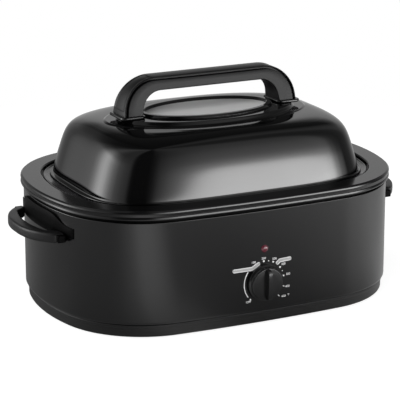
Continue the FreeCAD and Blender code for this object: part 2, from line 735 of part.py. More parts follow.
def element_clips():
    """Small straps that hold the element against the well's wall."""
    clips = []
    grip = ELEMENT_RADIUS + CLIP_WALL
    circle = Part.makeCircle(ELEMENT_RADIUS, V(0, 0, ELEMENT_LEVEL), BACK)
    element = carried(ELEMENT, Part.Face(Part.Wire(circle)))
    well = WELL_BACK.prism(ELEMENT_LEVEL - 2 * grip, ELEMENT_LEVEL + 2 * grip)
    for side in (-1, 1):
        for x in CLIP_SPOTS:
            outer = ELEMENT.point(x, side, ELEMENT_LEVEL).y + side * grip
            inner = WELL_BACK.point(x, side, ELEMENT_LEVEL).y - side * grip
            low = V(x - CLIP_HALF_WIDTH, min(inner, outer), ELEMENT_LEVEL - grip)
            high = V(x + CLIP_HALF_WIDTH, max(inner, outer), ELEMENT_LEVEL + grip)
            clips.append(block(low, high).cut(element).cut(well))
    return group(clips)


# ---- controls ----
def thermostat():
    """Switch body behind the panel with a threaded neck that passes through it."""
    half = THERMOSTAT_WIDTH / 2
    low = KNOB_HEIGHT - THERMOSTAT_HEIGHT / 2
    high = KNOB_HEIGHT + THERMOSTAT_HEIGHT / 2
    body = block(V(-half, PANEL_Y, low), V(half, THERMOSTAT_BACK_Y, high))
    body = body.common(SHELL_INSIDE.prism(low, high))
    start = V(0, THERMOSTAT_BACK_Y, KNOB_HEIGHT)
    neck = rod(start, -BACK, BUSHING_RADIUS, THERMOSTAT_DEPTH + BUSHING_LENGTH)
    mouth = V(0, NECK_END_Y, KNOB_HEIGHT)
    bore = rod(mouth, BACK, SHAFT_RADIUS + SHAFT_GAP, BUSHING_LENGTH + THERMOSTAT_DEPTH / 2)
    return joined([body, neck]).cut(bore)


def thermostat_nut():
    """Hexagon nut on the neck, against the panel's outside."""
    corners = []
    for index in range(NUT_SIDES + 1):
        angle = 2 * math.pi * index / NUT_SIDES
        x = BUSHING_NUT_RADIUS * math.cos(angle)
        z = KNOB_HEIGHT + BUSHING_NUT_RADIUS * math.sin(angle)
        corners.append(V(x, PANEL_Y, z))
    nut = Part.Face(Part.makePolygon(corners)).extrude(-BACK * BUSHING_NUT_HEIGHT)
    return nut.cut(rod(V(0, PANEL_INSIDE_Y, KNOB_HEIGHT), -BACK, BUSHING_RADIUS, THERMOSTAT_DEPTH))


def flatted_rod(start_y, stop_y):
    """The shaft's D-shaped end along Y; the flat lies on its upper side."""
    body = rod(V(0, start_y, KNOB_HEIGHT), -BACK, SHAFT_RADIUS, start_y - stop_y)
    low = V(-SHAFT_RADIUS, stop_y - CUT_MARGIN, KNOB_HEIGHT + SHAFT_RADIUS - SHAFT_FLAT)
    high = V(SHAFT_RADIUS, start_y + CUT_MARGIN, KNOB_HEIGHT + 2 * SHAFT_RADIUS)
    return body.cut(block(low, high))


def thermostat_shaft():
    """Turning shaft in the thermostat's neck; its flatted end fills the knob's socket."""
    inner_end = PANEL_INSIDE_Y + THERMOSTAT_DEPTH / 2 - KNOB_GAP
    round_part = rod(V(0, inner_end, KNOB_HEIGHT), -BACK, SHAFT_RADIUS, inner_end - NECK_END_Y)
    return joined([round_part, flatted_rod(NECK_END_Y, KNOB_FACE_Y)])


def control_knob():
    """Round knob: skirt, tapered face disc and a straight grip bar that points at the dial."""
    centre = V(0, KNOB_BACK_Y, KNOB_HEIGHT)
    skirt = Part.makeCone(KNOB_RADIUS, KNOB_RADIUS - KNOB_DRAFT, KNOB_SKIRT, centre, -BACK)
    face_depth = KNOB_DEPTH - KNOB_SKIRT
    face_start = centre - BACK * KNOB_SKIRT
    face = Part.makeCone(KNOB_FACE_RADIUS + KNOB_DRAFT, KNOB_FACE_RADIUS, face_depth, face_start, -BACK)
    rims = [edge for edge in face.Edges if abs(edge.CenterOfMass.y - KNOB_FACE_Y) < SAME_LEVEL]
    face = face.makeFillet(KNOB_EDGE, rims)
    half = KNOB_BAR_WIDTH / 2
    tip_half = half - KNOB_BAR_TAPER / 2
    base_y = KNOB_FACE_Y + KNOB_EDGE
    foot = [V(-half, base_y, 0), V(half, base_y, 0)]
    tip = [V(tip_half, KNOB_TIP_Y, 0), V(-tip_half, KNOB_TIP_Y, 0)]
    bar = Part.Face(Part.makePolygon(foot + tip + foot[:1])).extrude(UP * 2 * KNOB_RADIUS)
    bar.translate(UP * (KNOB_HEIGHT - KNOB_RADIUS))
    bar = bar.common(rod(centre, -BACK, KNOB_FACE_RADIUS - KNOB_BAR_SETBACK, KNOB_DEPTH + KNOB_BAR_RISE))
    hollow_end = NECK_END_Y - KNOB_GAP
    start = centre + BACK * CUT_MARGIN
    hollow = rod(start, -BACK, BUSHING_NUT_RADIUS + KNOB_EDGE, KNOB_BACK_Y - hollow_end + CUT_MARGIN)
    return joined([skirt, face, bar]).cut(hollow).cut(flatted_rod(KNOB_BACK_Y, KNOB_FACE_Y))


def bulb_start():
    """Left end of the sensing bulb's axis, against the front of the well above the element."""
    y = WELL_BACK.outset(BULB_RADIUS).point(0, -1, 0).y
    x = -BULB_LENGTH + THERMOSTAT_WIDTH / 2 - 3 * CAPILLARY_BEND
    return V(x, y, ELEMENT_LEVEL + BULB_RISE)


def sensing_bulb():
    return rod(bulb_start(), RIGHT, BULB_RADIUS, BULB_LENGTH)


def bulb_clip():
    """Two saddles that hold the bulb against the well."""
    start = bulb_start()
    grip = BULB_RADIUS + CLIP_WALL
    saddles = []
    for share in SADDLE_SPOTS:
        x = start.x + share * BULB_LENGTH
        low = V(x - SADDLE_HALF_WIDTH, start.y - grip, start.z - grip)
        high = V(x + SADDLE_HALF_WIDTH, start.y + 2 * BULB_RADIUS, start.z + grip)
        saddle = block(low, high).cut(sensing_bulb())
        saddles.append(saddle.cut(WELL_BACK.prism(WELL_FLOOR_UNDER, SHIELD_TOP)))
    return group(saddles)


def capillary_tube():
    """Fine tube from the bulb's end through the shield into the thermostat's back."""
    start = bulb_start() + RIGHT * BULB_LENGTH
    turn = start + RIGHT * 2 * CAPILLARY_BEND
    end = V(turn.x, THERMOSTAT_BACK_Y, turn.z)
    return along(bent_path([start, turn, end], CAPILLARY_BEND), CAPILLARY_RADIUS)


# ---- indicator lamp ----
def indicator_lens():
    """Red lens: a shallow dome outside and a hollow barrel through the panel."""
    radius = (LENS_RADIUS ** 2 + LENS_PROUD ** 2) / (2 * LENS_PROUD)
    ball = Part.makeSphere(radius, V(0, PANEL_Y - LENS_PROUD + radius, LAMP_HEIGHT))
    start = V(0, PANEL_Y, LAMP_HEIGHT)
    dome = ball.common(rod(start, -BACK, LENS_RADIUS, LENS_PROUD + CUT_MARGIN))
    bore = LENS_BARREL_RADIUS - LAMP_BODY_WALL
    barrel = tube(start, BACK, LENS_BARREL_RADIUS, bore, SHELL_WALL + LENS_BARREL)
    return joined([dome, barrel])


def lamp_holder():
    """Cup behind the panel that carries the lamp."""
    start = V(0, PANEL_Y, LAMP_HEIGHT)
    cup = rod(start, BACK, LAMP_BODY_RADIUS, SHELL_WALL + LAMP_BODY_LENGTH)
    cup = cup.common(SHELL_INSIDE.prism(LAMP_HEIGHT - LAMP_BODY_RADIUS, LAMP_HEIGHT + LAMP_BODY_RADIUS))
    return cup.cut(rod(start, BACK, LENS_BARREL_RADIUS, SHELL_WALL + LAMP_BODY_LENGTH - LAMP_BODY_WALL))


def neon_lamp():
    end = PANEL_INSIDE_Y + LAMP_BODY_LENGTH - LAMP_BODY_WALL
    return rod(V(0, end - LAMP_BULB_LENGTH, LAMP_HEIGHT), BACK, LAMP_BULB_RADIUS, LAMP_BULB_LENGTH)


# ---- supply side ----
def cord_gland():
    """Bushing where the supply cord enters at the back; the cord itself is not part of the model."""
    wall = SHELL.point(GLAND_X, 1, GLAND_HEIGHT)
    flange = rod(wall - BACK * CUT_MARGIN, BACK, GLAND_FLANGE_RADIUS, GLAND_PROUD + CUT_MARGIN)
    flange = flange.cut(SHELL.prism(0, SHELL_TOP))
    barrel = rod(wall - BACK * GLAND_INSIDE, BACK, GLAND_RADIUS, GLAND_INSIDE + GLAND_PROUD / 2)
    start = wall - BACK * (GLAND_INSIDE + CUT_MARGIN)
    bore = rod(start, BACK, GLAND_BORE_RADIUS, GLAND_INSIDE + GLAND_PROUD + 2 * CUT_MARGIN)
    return joined([flange, barrel]).cut(bore)


def gland_nut():
    wall = SHELL_INSIDE.point(GLAND_X, 1, GLAND_HEIGHT)
    nut = tube(wall - BACK * GLAND_FLANGE, BACK, GLAND_FLANGE_RADIUS, GLAND_RADIUS, 2 * GLAND_FLANGE)
    return nut.common(SHELL_INSIDE.prism(BASE_TOP, SHELL_TOP))


def block_low():
    y = RING_HALF_WIDTH - BASE_INSET - BLOCK_SETBACK - BLOCK_WIDTH / 2
    return V(BLOCK_X - BLOCK_LENGTH / 2, y, BASE_FLOOR_TOP)


def terminal_block():
    low = block_low()
    return block(low, low + V(BLOCK_LENGTH, BLOCK_WIDTH, BLOCK_HEIGHT))


def terminal_screws():
    low = block_low()
    pitch = BLOCK_LENGTH / BLOCK_WAYS
    top = low.z + BLOCK_HEIGHT
    first = V(low.x + pitch / 2, low.y + BLOCK_WIDTH / 2, top)
    spots = [first + RIGHT * pitch * way for way in range(BLOCK_WAYS)]
    return group([rod(spot, UP, BLOCK_SCREW_RADIUS, BLOCK_SCREW_HEIGHT) for spot in spots])


def internal_wiring():
    """Leads under the heat shield between the element, the thermostat and the terminal block."""
    low = block_low()
    level = WIRE_LEVEL
    riser_y = THERMOSTAT_BACK_Y - LEAD_SETBACK
    under = KNOB_HEIGHT - THERMOSTAT_HEIGHT / 2
    side = THERMOSTAT_WIDTH / 4
    middle_y = low.y + BLOCK_WIDTH / 2
    tail = SHIELD_FLOOR - SHIELD_WALL - TAIL_DROP
    left = ELEMENT.point(-ELEMENT_GAP_HALF, 1, tail)
    right = ELEMENT.point(ELEMENT_GAP_HALF, 1, tail)
    to_thermostat = [left, raised(left, level), V(left.x, riser_y, level), V(left.x, riser_y, under)]
    to_block = [right, raised(right, level), V(right.x, middle_y, level), V(low.x, middle_y, level)]
    supply = [V(BLOCK_X, low.y, level), V(BLOCK_X, riser_y, level)]
    supply += [V(side, riser_y, level), V(side, riser_y, under)]
    runs = (to_thermostat, to_block, supply)
    return group([along(bent_path(points, WIRE_BEND), WIRE_RADIUS) for points in runs])


# ---- side handles ----
def side_screw_lines(side):
    """Where each side screw meets the shell's outside, and its outward direction square to the wall."""
    half_length, end_radius = SHELL.values[0], SHELL.values[3]
    centre = V(side * (half_length - end_radius), 0, SIDE_SCREW_HEIGHT)
    lines = []
    for y in (-SIDE_SCREW_Y, SIDE_SCREW_Y):
        out = V(side * math.sqrt(end_radius ** 2 - y ** 2), y, 0) / end_radius
        lines.append((centre + out * end_radius, out))
    return lines


def side_handle(side):
    """Moulded shelf grip with its wall plate and two legs, in one piece; side is -1 left, 1 right."""
    handle = joined([grip_plate(), grip_crescent()] + grip_legs())
    for spot, out in side_screw_lines(1):
        start = spot - out * CUT_MARGIN
        handle = handle.cut(rod(start, out, SIDE_SCREW_RADIUS, SIDE_SCREW_BITE + CUT_MARGIN))
    if side < 0:
        handle = handle.mirror(V(0, 0, 0), RIGHT)
    return handle


def grip_plate():
    """Plate that follows the shell's end: straight below, higher in the middle than at its ends."""
    low = GRIP_LEVEL + GRIP_THICKNESS - PLATE_DROP
    end = low + PLATE_END_HEIGHT
    top = low + PLATE_HEIGHT
    corners = [(-PLATE_HALF_WIDTH, low), (PLATE_HALF_WIDTH, low), (PLATE_HALF_WIDTH, end),
               (PLATE_TOP_HALF_WIDTH, top), (-PLATE_TOP_HALF_WIDTH, top), (-PLATE_HALF_WIDTH, end)]
    front = Part.Face(Part.makePolygon([V(0, y, z) for y, z in corners + corners[:1]]))
    plate = band(SHELL.outset(PLATE_THICKNESS), SHELL, low, top)
    return plate.common(front.extrude(RIGHT * RING_HALF_LENGTH))


def grip_reach():
    """How far the grip's outer edge reaches: in the middle and at its ends."""
    middle = SHELL.values[0] + GRIP_PROJECTION
    return middle, middle - GRIP_BOW


def grip_crescent():
    """The grip seen from above: an outer arc and a flatter inner arc, joined by short ends."""
    middle, end = grip_reach()
    outer = [V(end, -GRIP_HALF_LENGTH, 0), V(middle, 0, 0), V(end, GRIP_HALF_LENGTH, 0)]
    inner_end = end - GRIP_END_WIDTH
    inner = [V(inner_end, GRIP_HALF_LENGTH, 0), V(middle - GRIP_WIDTH, 0, 0)]
    inner.append(V(inner_end, -GRIP_HALF_LENGTH, 0))
    edges = [Part.Arc(*outer).toShape(), Part.LineSegment(outer[-1], inner[0]).toShape(),
             Part.Arc(*inner).toShape(), Part.LineSegment(inner[-1], outer[0]).toShape()]
    grip = Part.Face(Part.Wire(edges)).extrude(UP * GRIP_THICKNESS)
    rims = [edge for edge in grip.Edges if edge.Length > GRIP_HALF_LENGTH]
    grip = grip.makeFillet(GRIP_EDGE, rims)
    grip.translate(UP * GRIP_LEVEL)
    return grip


def grip_legs():
    """Two short legs from the shell's wall to the grip's ends."""
    leg_y = GRIP_HALF_LENGTH - LEG_SETBACK - LEG_WIDTH / 2
    near = SHELL.end_x(GRIP_HALF_LENGTH) - PLATE_THICKNESS
    far = grip_reach()[1] - GRIP_EDGE
    legs = []
    for y in (-leg_y, leg_y):
        low = V(near, y - LEG_WIDTH / 2, GRIP_LEVEL + GRIP_EDGE)
        high = V(far, y + LEG_WIDTH / 2, GRIP_LEVEL + GRIP_THICKNESS - GRIP_EDGE)
        legs.append(block(low, high).cut(SHELL.prism(GRIP_LEVEL, SHELL_TOP)))
    return legs


def side_screws():
    """Four screws from inside the shell, through the straps, into the side handles' plates."""
    screws = []
    for side in (-1, 1):
        for spot, out in side_screw_lines(side):
            seat = SHELL_WALL + 2 * BACKING_GAP + BACKING_WALL
            head = rod(spot - out * seat, -out, SIDE_SCREW_HEAD_RADIUS, SIDE_SCREW_HEAD)
            shank = rod(spot - out * seat, out, SIDE_SCREW_RADIUS, seat + SIDE_SCREW_BITE)
            screws.append(joined([head, shank]))
    return group(screws)


def handle_backing():
    """Steel straps inside the shell that spread the load of the side handles."""
    outer = SHELL_INSIDE.inset(BACKING_GAP)
    low = SIDE_SCREW_HEIGHT - BACKING_HEIGHT / 2
    strap = band(outer, outer.inset(BACKING_WALL), low, low + BACKING_HEIGHT)
    straps = []
    for side in (-1, 1):
        near, far = sorted((0, side * RING_HALF_LENGTH))
        low_corner = V(near, -BACKING_HALF_WIDTH, low)
        part = strap.common(block(low_corner, V(far, BACKING_HALF_WIDTH, low + BACKING_HEIGHT)))
        for spot, out in side_screw_lines(side):
            part = part.cut(rod(spot, -out, SIDE_SCREW_RADIUS + SLIP_GAP, BACKING_HEIGHT))
        straps.append(part)
    return group(straps)


# ---- cooking pan and rack ----
def cooking_pan():
    """Enamelled pan with a flat rim that ends in a rolled bead."""
    circle = Part.makeCircle(PAN_BEAD_RADIUS, V(-PAN_BEAD_RADIUS, 0, PAN_RIM_MIDDLE), BACK)
    bead = carried(RIM, Part.Face(Part.Wire(circle)))
    pieces = dish(PAN, PAN_FLOOR, PAN_RIM_TOP, PAN_WALL, PAN_FLOOR_RADIUS, PAN_DRAFT)
    return joined(pieces + [bead])


def roasting_rack():
    """Wire rack: an oval rim, cross bars, feet and two upright lifting loops, all welded."""
    line = PAN.inset(RACK_SETBACK + RACK_WIRE)
    level = PAN_FLOOR + RACK_LEVEL
    circle = Part.makeCircle(RACK_WIRE, V(0, 0, level), BACK)
    pieces = [carried(line, Part.Face(Part.Wire(circle)))]
    last = line.values[0] - RACK_END_BAR
    for index in range(RACK_BARS):
        x = last * (2 * index / (RACK_BARS - 1) - 1)
        reach = rack_half_width(line, x)
        pieces.append(rod(V(x, -reach, level - RACK_BAR_DROP), BACK, RACK_CROSS_WIRE, 2 * reach))
    foot_x = last * (1 - 2 * RACK_FOOT_BAR / (RACK_BARS - 1))
    for spot in corners_of(foot_x, rack_half_width(line, foot_x) - RACK_FOOT_SETBACK):
        length = RACK_LEVEL - RACK_BAR_DROP - SEAT_GAP
        pieces.append(rod(raised(spot, PAN_FLOOR + SEAT_GAP), UP, RACK_FOOT_WIRE, length))
    for side in (-1, 1):
        pieces.append(rack_loop(line, level, side))
    return joined(pieces)


def rack_half_width(line, x):
    """Half the rim's width at x, from a cut across its outline."""
    cutter = Part.makeLine(V(x, -2 * RING_HALF_WIDTH, 0), V(x, 2 * RING_HALF_WIDTH, 0))
    return Part.Face(line.wire(0)).common(cutter).Length / 2


def rack_loop(line, level, side):
    """Upright lifting loop whose two legs stand on the rim's end."""
    x = side * line.end_x(RACK_HANDLE_HALF_WIDTH)
    top = level + RACK_HANDLE_RISE
    front, rear = -RACK_HANDLE_HALF_WIDTH, RACK_HANDLE_HALF_WIDTH
    points = [V(x, front, level), V(x, front, top), V(x, rear, top), V(x, rear, level)]
    return along(bent_path(points, RACK_HANDLE_BEND), RACK_LOOP_WIRE)


# ---- lid ----
def superellipse(half_length, half_width, power, z):
    """A closed smooth outline: |x/a|^n + |y/b|^n = 1 at height z."""
    points = []
    for index in range(OUTLINE_POINTS):
        angle = 2 * math.pi * index / OUTLINE_POINTS
        u, v = math.cos(angle), math.sin(angle)
        stretch = (abs(u) ** power + abs(v) ** power) ** (-1 / power)
        points.append(V(half_length * stretch * u, half_width * stretch * v, z))
    curve = Part.BSplineCurve()
    curve.interpolate(Points=points, PeriodicFlag=True)
    return Part.Wire(curve.toShape())


def lid_levels(shrink):
    """Outlines of the lid from its foot to the crown's flat top, drawn in by a sheet's thickness.

    At share h of the dome's height the outline is drawn in evenly by the draft and then multiplied by
    (1 - h^p)^s, from the bend's power and share, so that the wall bends over into the crown.  The
    outline's own power falls as it bends.
    """
    shares = [LID_WALL_SHARE * step / LID_WALL_STEPS for step in range(LID_WALL_STEPS)]
    low = LID_WALL_SHARE ** LID_BEND_POWER
    high = LID_CROWN_SHARE ** LID_BEND_POWER
    first = math.asin(math.sqrt(low))
    last = math.asin(math.sqrt(high))
    for step in range(LID_CROWN_STEPS + 1):
        angle = first + (last - first) * step / LID_CROWN_STEPS
        shares.append(math.sin(angle) ** (2 / LID_BEND_POWER))
    levels = []
    for share in shares:
        out = (1 - share ** LID_BEND_POWER) ** LID_BEND_SHARE
        softness = (1 - out) / (1 - LID_TOP_SHARE)
        half_length = (LID_HALF_LENGTH - LID_END_DRAFT * share) * out - shrink
        half_width = (LID_HALF_WIDTH - LID_SIDE_DRAFT * share) * out - shrink
        power = LID_OUTLINE_POWER + (LID_TOP_POWER - LID_OUTLINE_POWER) * softness
        height = LID_FLANGE_TOP + LID_DOME_HEIGHT * share - shrink * softness
        levels.append((half_length, half_width, power, height))
    return levels


def ellipse_wire(half_length, half_width, z):
    return Part.Wire(Part.Ellipse(V(0, 0, z), half_length, half_width).toShape())


def lid_step(half_length, half_width, low, high, shrink):
    """One sloping oval step on the lid's top."""
    length = half_length - shrink
    width = half_width - shrink
    foot = ellipse_wire(length, width, low)
    head = ellipse_wire(length - STEP_SLOPE, width - STEP_SLOPE, high - shrink)
    return Part.makeLoft([foot, head], True, True)


def lid_solid(shrink):
    """The lid's full volume, drawn in by a distance on every side but the foot."""
    crown = Part.makeLoft([superellipse(*level) for level in lid_levels(shrink)], True, False)
    sunk = LID_CROWN_TOP - LOWER_STEP_SINK
    lower = lid_step(LOWER_STEP_HALF_LENGTH, LOWER_STEP_HALF_WIDTH, sunk, LOWER_STEP_TOP, shrink)
    upper = lid_step(UPPER_STEP_HALF_LENGTH, UPPER_STEP_HALF_WIDTH, sunk, LID_TOP, shrink)
    return crown.fuse([lower, upper])


def ellipse_prism(half_length, half_width, low, high):
    return Part.Face(ellipse_wire(half_length, half_width, low)).extrude(UP * (high - low))


def window_prism(margin, low, high):
    return ellipse_prism(WINDOW_HALF_LENGTH + margin, WINDOW_HALF_WIDTH + margin, low, high)


def lid_shell():
    """Domed lid: flange that lies on the pan's rim, drafted wall, crown, two steps and the window's hole."""
    under = LID_FLANGE_UNDER
    foot = superellipse(LID_FLANGE_HALF_LENGTH, LID_FLANGE_HALF_WIDTH, LID_FLANGE_POWER, under)
    flange = Part.Face(foot).extrude(UP * LID_WALL)
    mouth = superellipse(LID_HALF_LENGTH - LID_WALL, LID_HALF_WIDTH - LID_WALL, LID_OUTLINE_POWER, under)
    hollow = lid_solid(LID_WALL).fuse(Part.Face(mouth).extrude(UP * LID_WALL))
    shell = lid_solid(0).fuse(flange).cut(hollow)
    shell = shell.cut(window_prism(GLASS_LAP + SLIP_GAP, GLASS_UNDER - LID_WALL, GLASS_TOP))
    for spot in handle_screw_spots():
        start = raised(spot, LID_CROWN_TOP - LOWER_STEP_SINK)
        shell = shell.cut(rod(start, UP, HANDLE_SCREW_RADIUS + SLIP_GAP, LID_DOME_HEIGHT))
    return shell


def window_glass():
    return window_prism(GLASS_LAP, GLASS_UNDER, GLASS_TOP)


def window_trim():
    """Raised oval ring over the glass's edge, standing on the lid's top."""
    top = LID_TOP + TRIM_HEIGHT
    ring = window_prism(TRIM_WIDTH, LID_TOP, top)
    rims = [edge for edge in ring.Edges if abs(edge.CenterOfMass.z - top) < SAME_LEVEL]
    ring = ring.makeFillet(TRIM_EDGE, rims).cut(window_prism(0, GLASS_TOP, top))
    return ring.cut(window_prism(GLASS_LAP + SLIP_GAP, LID_TOP, GLASS_TOP))


def window_retainer():
    """Ring under the lid's top that carries the seal and the glass."""
    seat = GLASS_UNDER - SEAL_HEIGHT
    low = seat - RETAINER_HEIGHT
    ring = window_prism(TRIM_WIDTH, low, LID_UNDER).cut(window_prism(0, low, LID_UNDER))
    return ring.cut(window_prism(GLASS_LAP + SLIP_GAP, seat, LID_UNDER))


def window_seal():
    low = GLASS_UNDER - SEAL_HEIGHT
    return window_prism(GLASS_LAP, low, GLASS_UNDER).cut(window_prism(0, low, GLASS_UNDER))


# ---- lid handle ----
def handle_screw_spots():
    x = (HANDLE_INNER_X + HANDLE_OUTER_X) / 2
    return [V(side * x, y, 0) for side in (-1, 1) for y in (-HANDLE_SCREW_SPREAD, HANDLE_SCREW_SPREAD)]


def lid_handle():
    """Arched handle along the lid's length, deeper at its feet than along its bar."""
    foot, out, inner = HANDLE_FOOT, HANDLE_OUTER_X, HANDLE_INNER_X
    under = HANDLE_UNDER
    lean = HANDLE_LEG_LEAN
    arch = rounded_face([
        (-out, foot, 0), (-inner, foot, 0), (-inner + lean, under, HANDLE_INNER_RADIUS),
        (inner - lean, under, HANDLE_INNER_RADIUS), (inner, foot, 0), (out, foot, 0),
        (out - lean, HANDLE_TOP, HANDLE_OUTER_RADIUS), (-out + lean, HANDLE_TOP, HANDLE_OUTER_RADIUS)])
    arch.translate(-BACK * HANDLE_FOOT_HALF_DEPTH)
    body = arch.extrude(BACK * 2 * HANDLE_FOOT_HALF_DEPTH)
    profile = rounded_face([
        (-HANDLE_FOOT_HALF_DEPTH, foot, 0), (HANDLE_FOOT_HALF_DEPTH, foot, 0),
        (HANDLE_BAR_HALF_DEPTH, HANDLE_TOP, HANDLE_EDGE), (-HANDLE_BAR_HALF_DEPTH, HANDLE_TOP, HANDLE_EDGE)])
    profile.rotate(V(0, 0, 0), UP, 90)
    profile.translate(-RIGHT * out)
    body = body.common(profile.extrude(RIGHT * 2 * out))
    for spot in handle_screw_spots():
        body = body.cut(rod(raised(spot, foot), UP, HANDLE_SCREW_RADIUS, HANDLE_SCREW_DEPTH))
    return body


def handle_collars():
    """Two rounded plates between the handle's feet and the lid's top."""
    reach = HANDLE_FOOT_HALF_DEPTH + COLLAR_SIDE_MARGIN
    inner = HANDLE_INNER_X - COLLAR_INNER_MARGIN
    outer = HANDLE_OUTER_X + COLLAR_OUTER_MARGIN
    collars = []
    for side in (-1, 1):
        low_x, high_x = sorted((side * inner, side * outer))
        plate = block(V(low_x, -reach, LID_TOP), V(high_x, reach, HANDLE_FOOT))
        uprights = [edge for edge in plate.Edges if edge.BoundBox.ZLength > COLLAR_THICKNESS / 2]
        plate = plate.makeFillet(COLLAR_CORNER, uprights)
        rims = [edge for edge in plate.Edges if edge.BoundBox.ZMin > HANDLE_FOOT - COLLAR_EDGE]
        plate = plate.makeFillet(COLLAR_EDGE, rims)
        for spot in handle_screw_spots():
            start = raised(spot, LID_TOP)
            plate = plate.cut(rod(start, UP, HANDLE_SCREW_RADIUS + SLIP_GAP, COLLAR_THICKNESS))
        collars.append(plate)
    return group(collars)


def handle_washers():
    low = LID_UNDER - WASHER_HEIGHT
    bore = HANDLE_SCREW_RADIUS + SLIP_GAP
    spots = [raised(spot, low) for spot in handle_screw_spots()]
    return group([tube(spot, UP, WASHER_RADIUS, bore, WASHER_HEIGHT) for spot in spots])


def handle_screws():
    """Four screws from under the lid through washers and collars into the handle's feet."""
    seat = LID_UNDER - WASHER_HEIGHT
    reach = HANDLE_FOOT + HANDLE_SCREW_DEPTH - seat
    screws = []
    for spot in handle_screw_spots():
        head = rod(raised(spot, seat - HANDLE_SCREW_HEAD), UP, HANDLE_SCREW_HEAD_RADIUS, HANDLE_SCREW_HEAD)
        screws.append(joined([head, rod(raised(spot, seat), UP, HANDLE_SCREW_RADIUS, reach)]))
    return group(screws)


PARTS = {
    "outer_shell": outer_shell,
    "rim_ring": rim_ring,
    "rim_spacer": rim_spacer,
    "base_pan": base_pan,
    "rubber_feet": rubber_feet,
    "base_posts": base_posts,
    "well_spacers": well_spacers,
    "tie_screws": tie_screws,
    "heat_well": heat_well,
    "heat_shield": heat_shield,
    "insulation_wrap": insulation_wrap,
    "heating_element": heating_element,
    "element_clips": element_clips,
    "thermostat": thermostat,
    "thermostat_nut": thermostat_nut,
    "thermostat_shaft": thermostat_shaft,
    "control_knob": control_knob,
    "sensing_bulb": sensing_bulb,
    "bulb_clip": bulb_clip,
    "capillary_tube": capillary_tube,
    "indicator_lens": indicator_lens,
    "lamp_holder": lamp_holder,
    "neon_lamp": neon_lamp,
    "cord_gland": cord_gland,
    "gland_nut": gland_nut,
    "terminal_block": terminal_block,
    "terminal_screws": terminal_screws,
    "internal_wiring": internal_wiring,
    "side_handle_left": lambda: side_handle(-1),
    "side_handle_right": lambda: side_handle(1),
    "side_screws": side_screws,
    "handle_backing": handle_backing,
    "cooking_pan": cooking_pan,
    "roasting_rack": roasting_rack,
    "lid_shell": lid_shell,
    "window_glass": window_glass,
    "window_trim": window_trim,
    "window_retainer": window_retainer,
    "window_seal": window_seal,
    "lid_handle": lid_handle,
    "handle_collars": handle_collars,
    "handle_washers": handle_washers,
    "handle_screws": handle_screws,
}


def main():
    os.makedirs("parts", exist_ok=True)
    for name, make in PARTS.items():
        shape = make()
        shape.translate(FRAME_SHIFT)
        shape.exportStep(f"parts/{name}.step")
        state = "valid" if shape.isValid() else "INVALID"
        print(name, state, len(shape.Solids), round(shape.Volume, 1), shape.BoundBox)


main()
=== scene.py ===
"""Electric roaster oven: the visible skin of an oval countertop roaster, built over its fixed CAD frame.

Lengths are metres, +Z is up, +X runs along the roaster and the control knob faces -Y.  Every new piece is
worked out about the housing's upright axis and then moved back by AXIS_Y, where that axis stands in the frame.
"""
import math

import bpy
import numpy as np
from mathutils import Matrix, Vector
from bpy.props import FloatProperty, FloatVectorProperty, PointerProperty


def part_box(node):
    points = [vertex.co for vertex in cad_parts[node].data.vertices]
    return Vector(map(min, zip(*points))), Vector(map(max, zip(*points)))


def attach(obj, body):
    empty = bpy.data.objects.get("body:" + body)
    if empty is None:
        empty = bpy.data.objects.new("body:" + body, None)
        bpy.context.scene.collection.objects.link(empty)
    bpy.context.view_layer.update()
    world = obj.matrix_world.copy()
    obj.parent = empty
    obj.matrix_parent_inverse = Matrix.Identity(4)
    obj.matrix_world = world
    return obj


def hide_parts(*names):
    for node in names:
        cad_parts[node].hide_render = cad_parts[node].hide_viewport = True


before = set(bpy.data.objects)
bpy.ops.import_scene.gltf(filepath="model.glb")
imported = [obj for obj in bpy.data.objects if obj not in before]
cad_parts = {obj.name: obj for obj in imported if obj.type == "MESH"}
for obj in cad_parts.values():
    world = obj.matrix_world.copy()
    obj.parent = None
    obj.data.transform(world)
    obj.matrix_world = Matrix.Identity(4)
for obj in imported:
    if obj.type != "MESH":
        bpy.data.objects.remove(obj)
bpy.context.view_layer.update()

bl_info = {
    "name": "Roaster Oven Skin",
    "version": (1, 0, 0),
    "blender": (4, 5, 0),
    "location": "3D View > Sidebar > Roaster",
    "description": "Builds the visible skin, finishes and studio of an electric roaster oven",
    "category": "Object",
}

RING_LOW, RING_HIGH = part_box("rim_ring")
WALL_LOW, WALL_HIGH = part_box("outer_shell")
LID_LOW, LID_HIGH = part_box("lid_shell")
ARCH_LOW, ARCH_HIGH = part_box("lid_handle")
KNOB_LOW, KNOB_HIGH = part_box("control_knob")
LENS_LOW, LENS_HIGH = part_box("indicator_lens")
GRIP_LOW, GRIP_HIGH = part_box("side_handle_right")
AXIS_Y = (RING_LOW.y + RING_HIGH.y) / 2
MM = 0.001

CREASE = 32.0  # degrees between faces above which an edge is sharp
KNOB_RADIUS = 0.0275
PAN_RIM_DROP = 0.0043  # from the ring's top down to the pan's rim
LINER_RIM_DROP = 0.0070  # and to the liner's
LID_FOOT = LID_LOW.z + 0.0012
END_EASE = 0.11  # share of the dome's height over which its ends leave the upright
END_FULLNESS = 0.66  # below 1 the ends close in later than the sides
FOOT_POWER = 4.0  # the dome's outline at its foot
CROWN_DROP = 1.7  # how far that power falls over the crown
STEP_FOOT = (0.169, 0.0955)  # half sizes of the oval where the dome meets the first step
PANE_SINK = 1.0  # millimetres from the lid's top down to the pane
FLOOR_RADIUS = 1.3
KEY_SPOT, KEY_TARGET, KEY_SIZE = (-1.2, -1.6, 2.6), (0, 0, 0.15), 1.6
CAMERA_SPOT, CAMERA_TARGET = (-1.2816, -2.55905, 0.9592), (0.0341, 0.09655, 0.1143)
CAMERA_LENS, SENSOR_WIDTH, CAMERA_REACH = 175.1, 36.0, 60.0


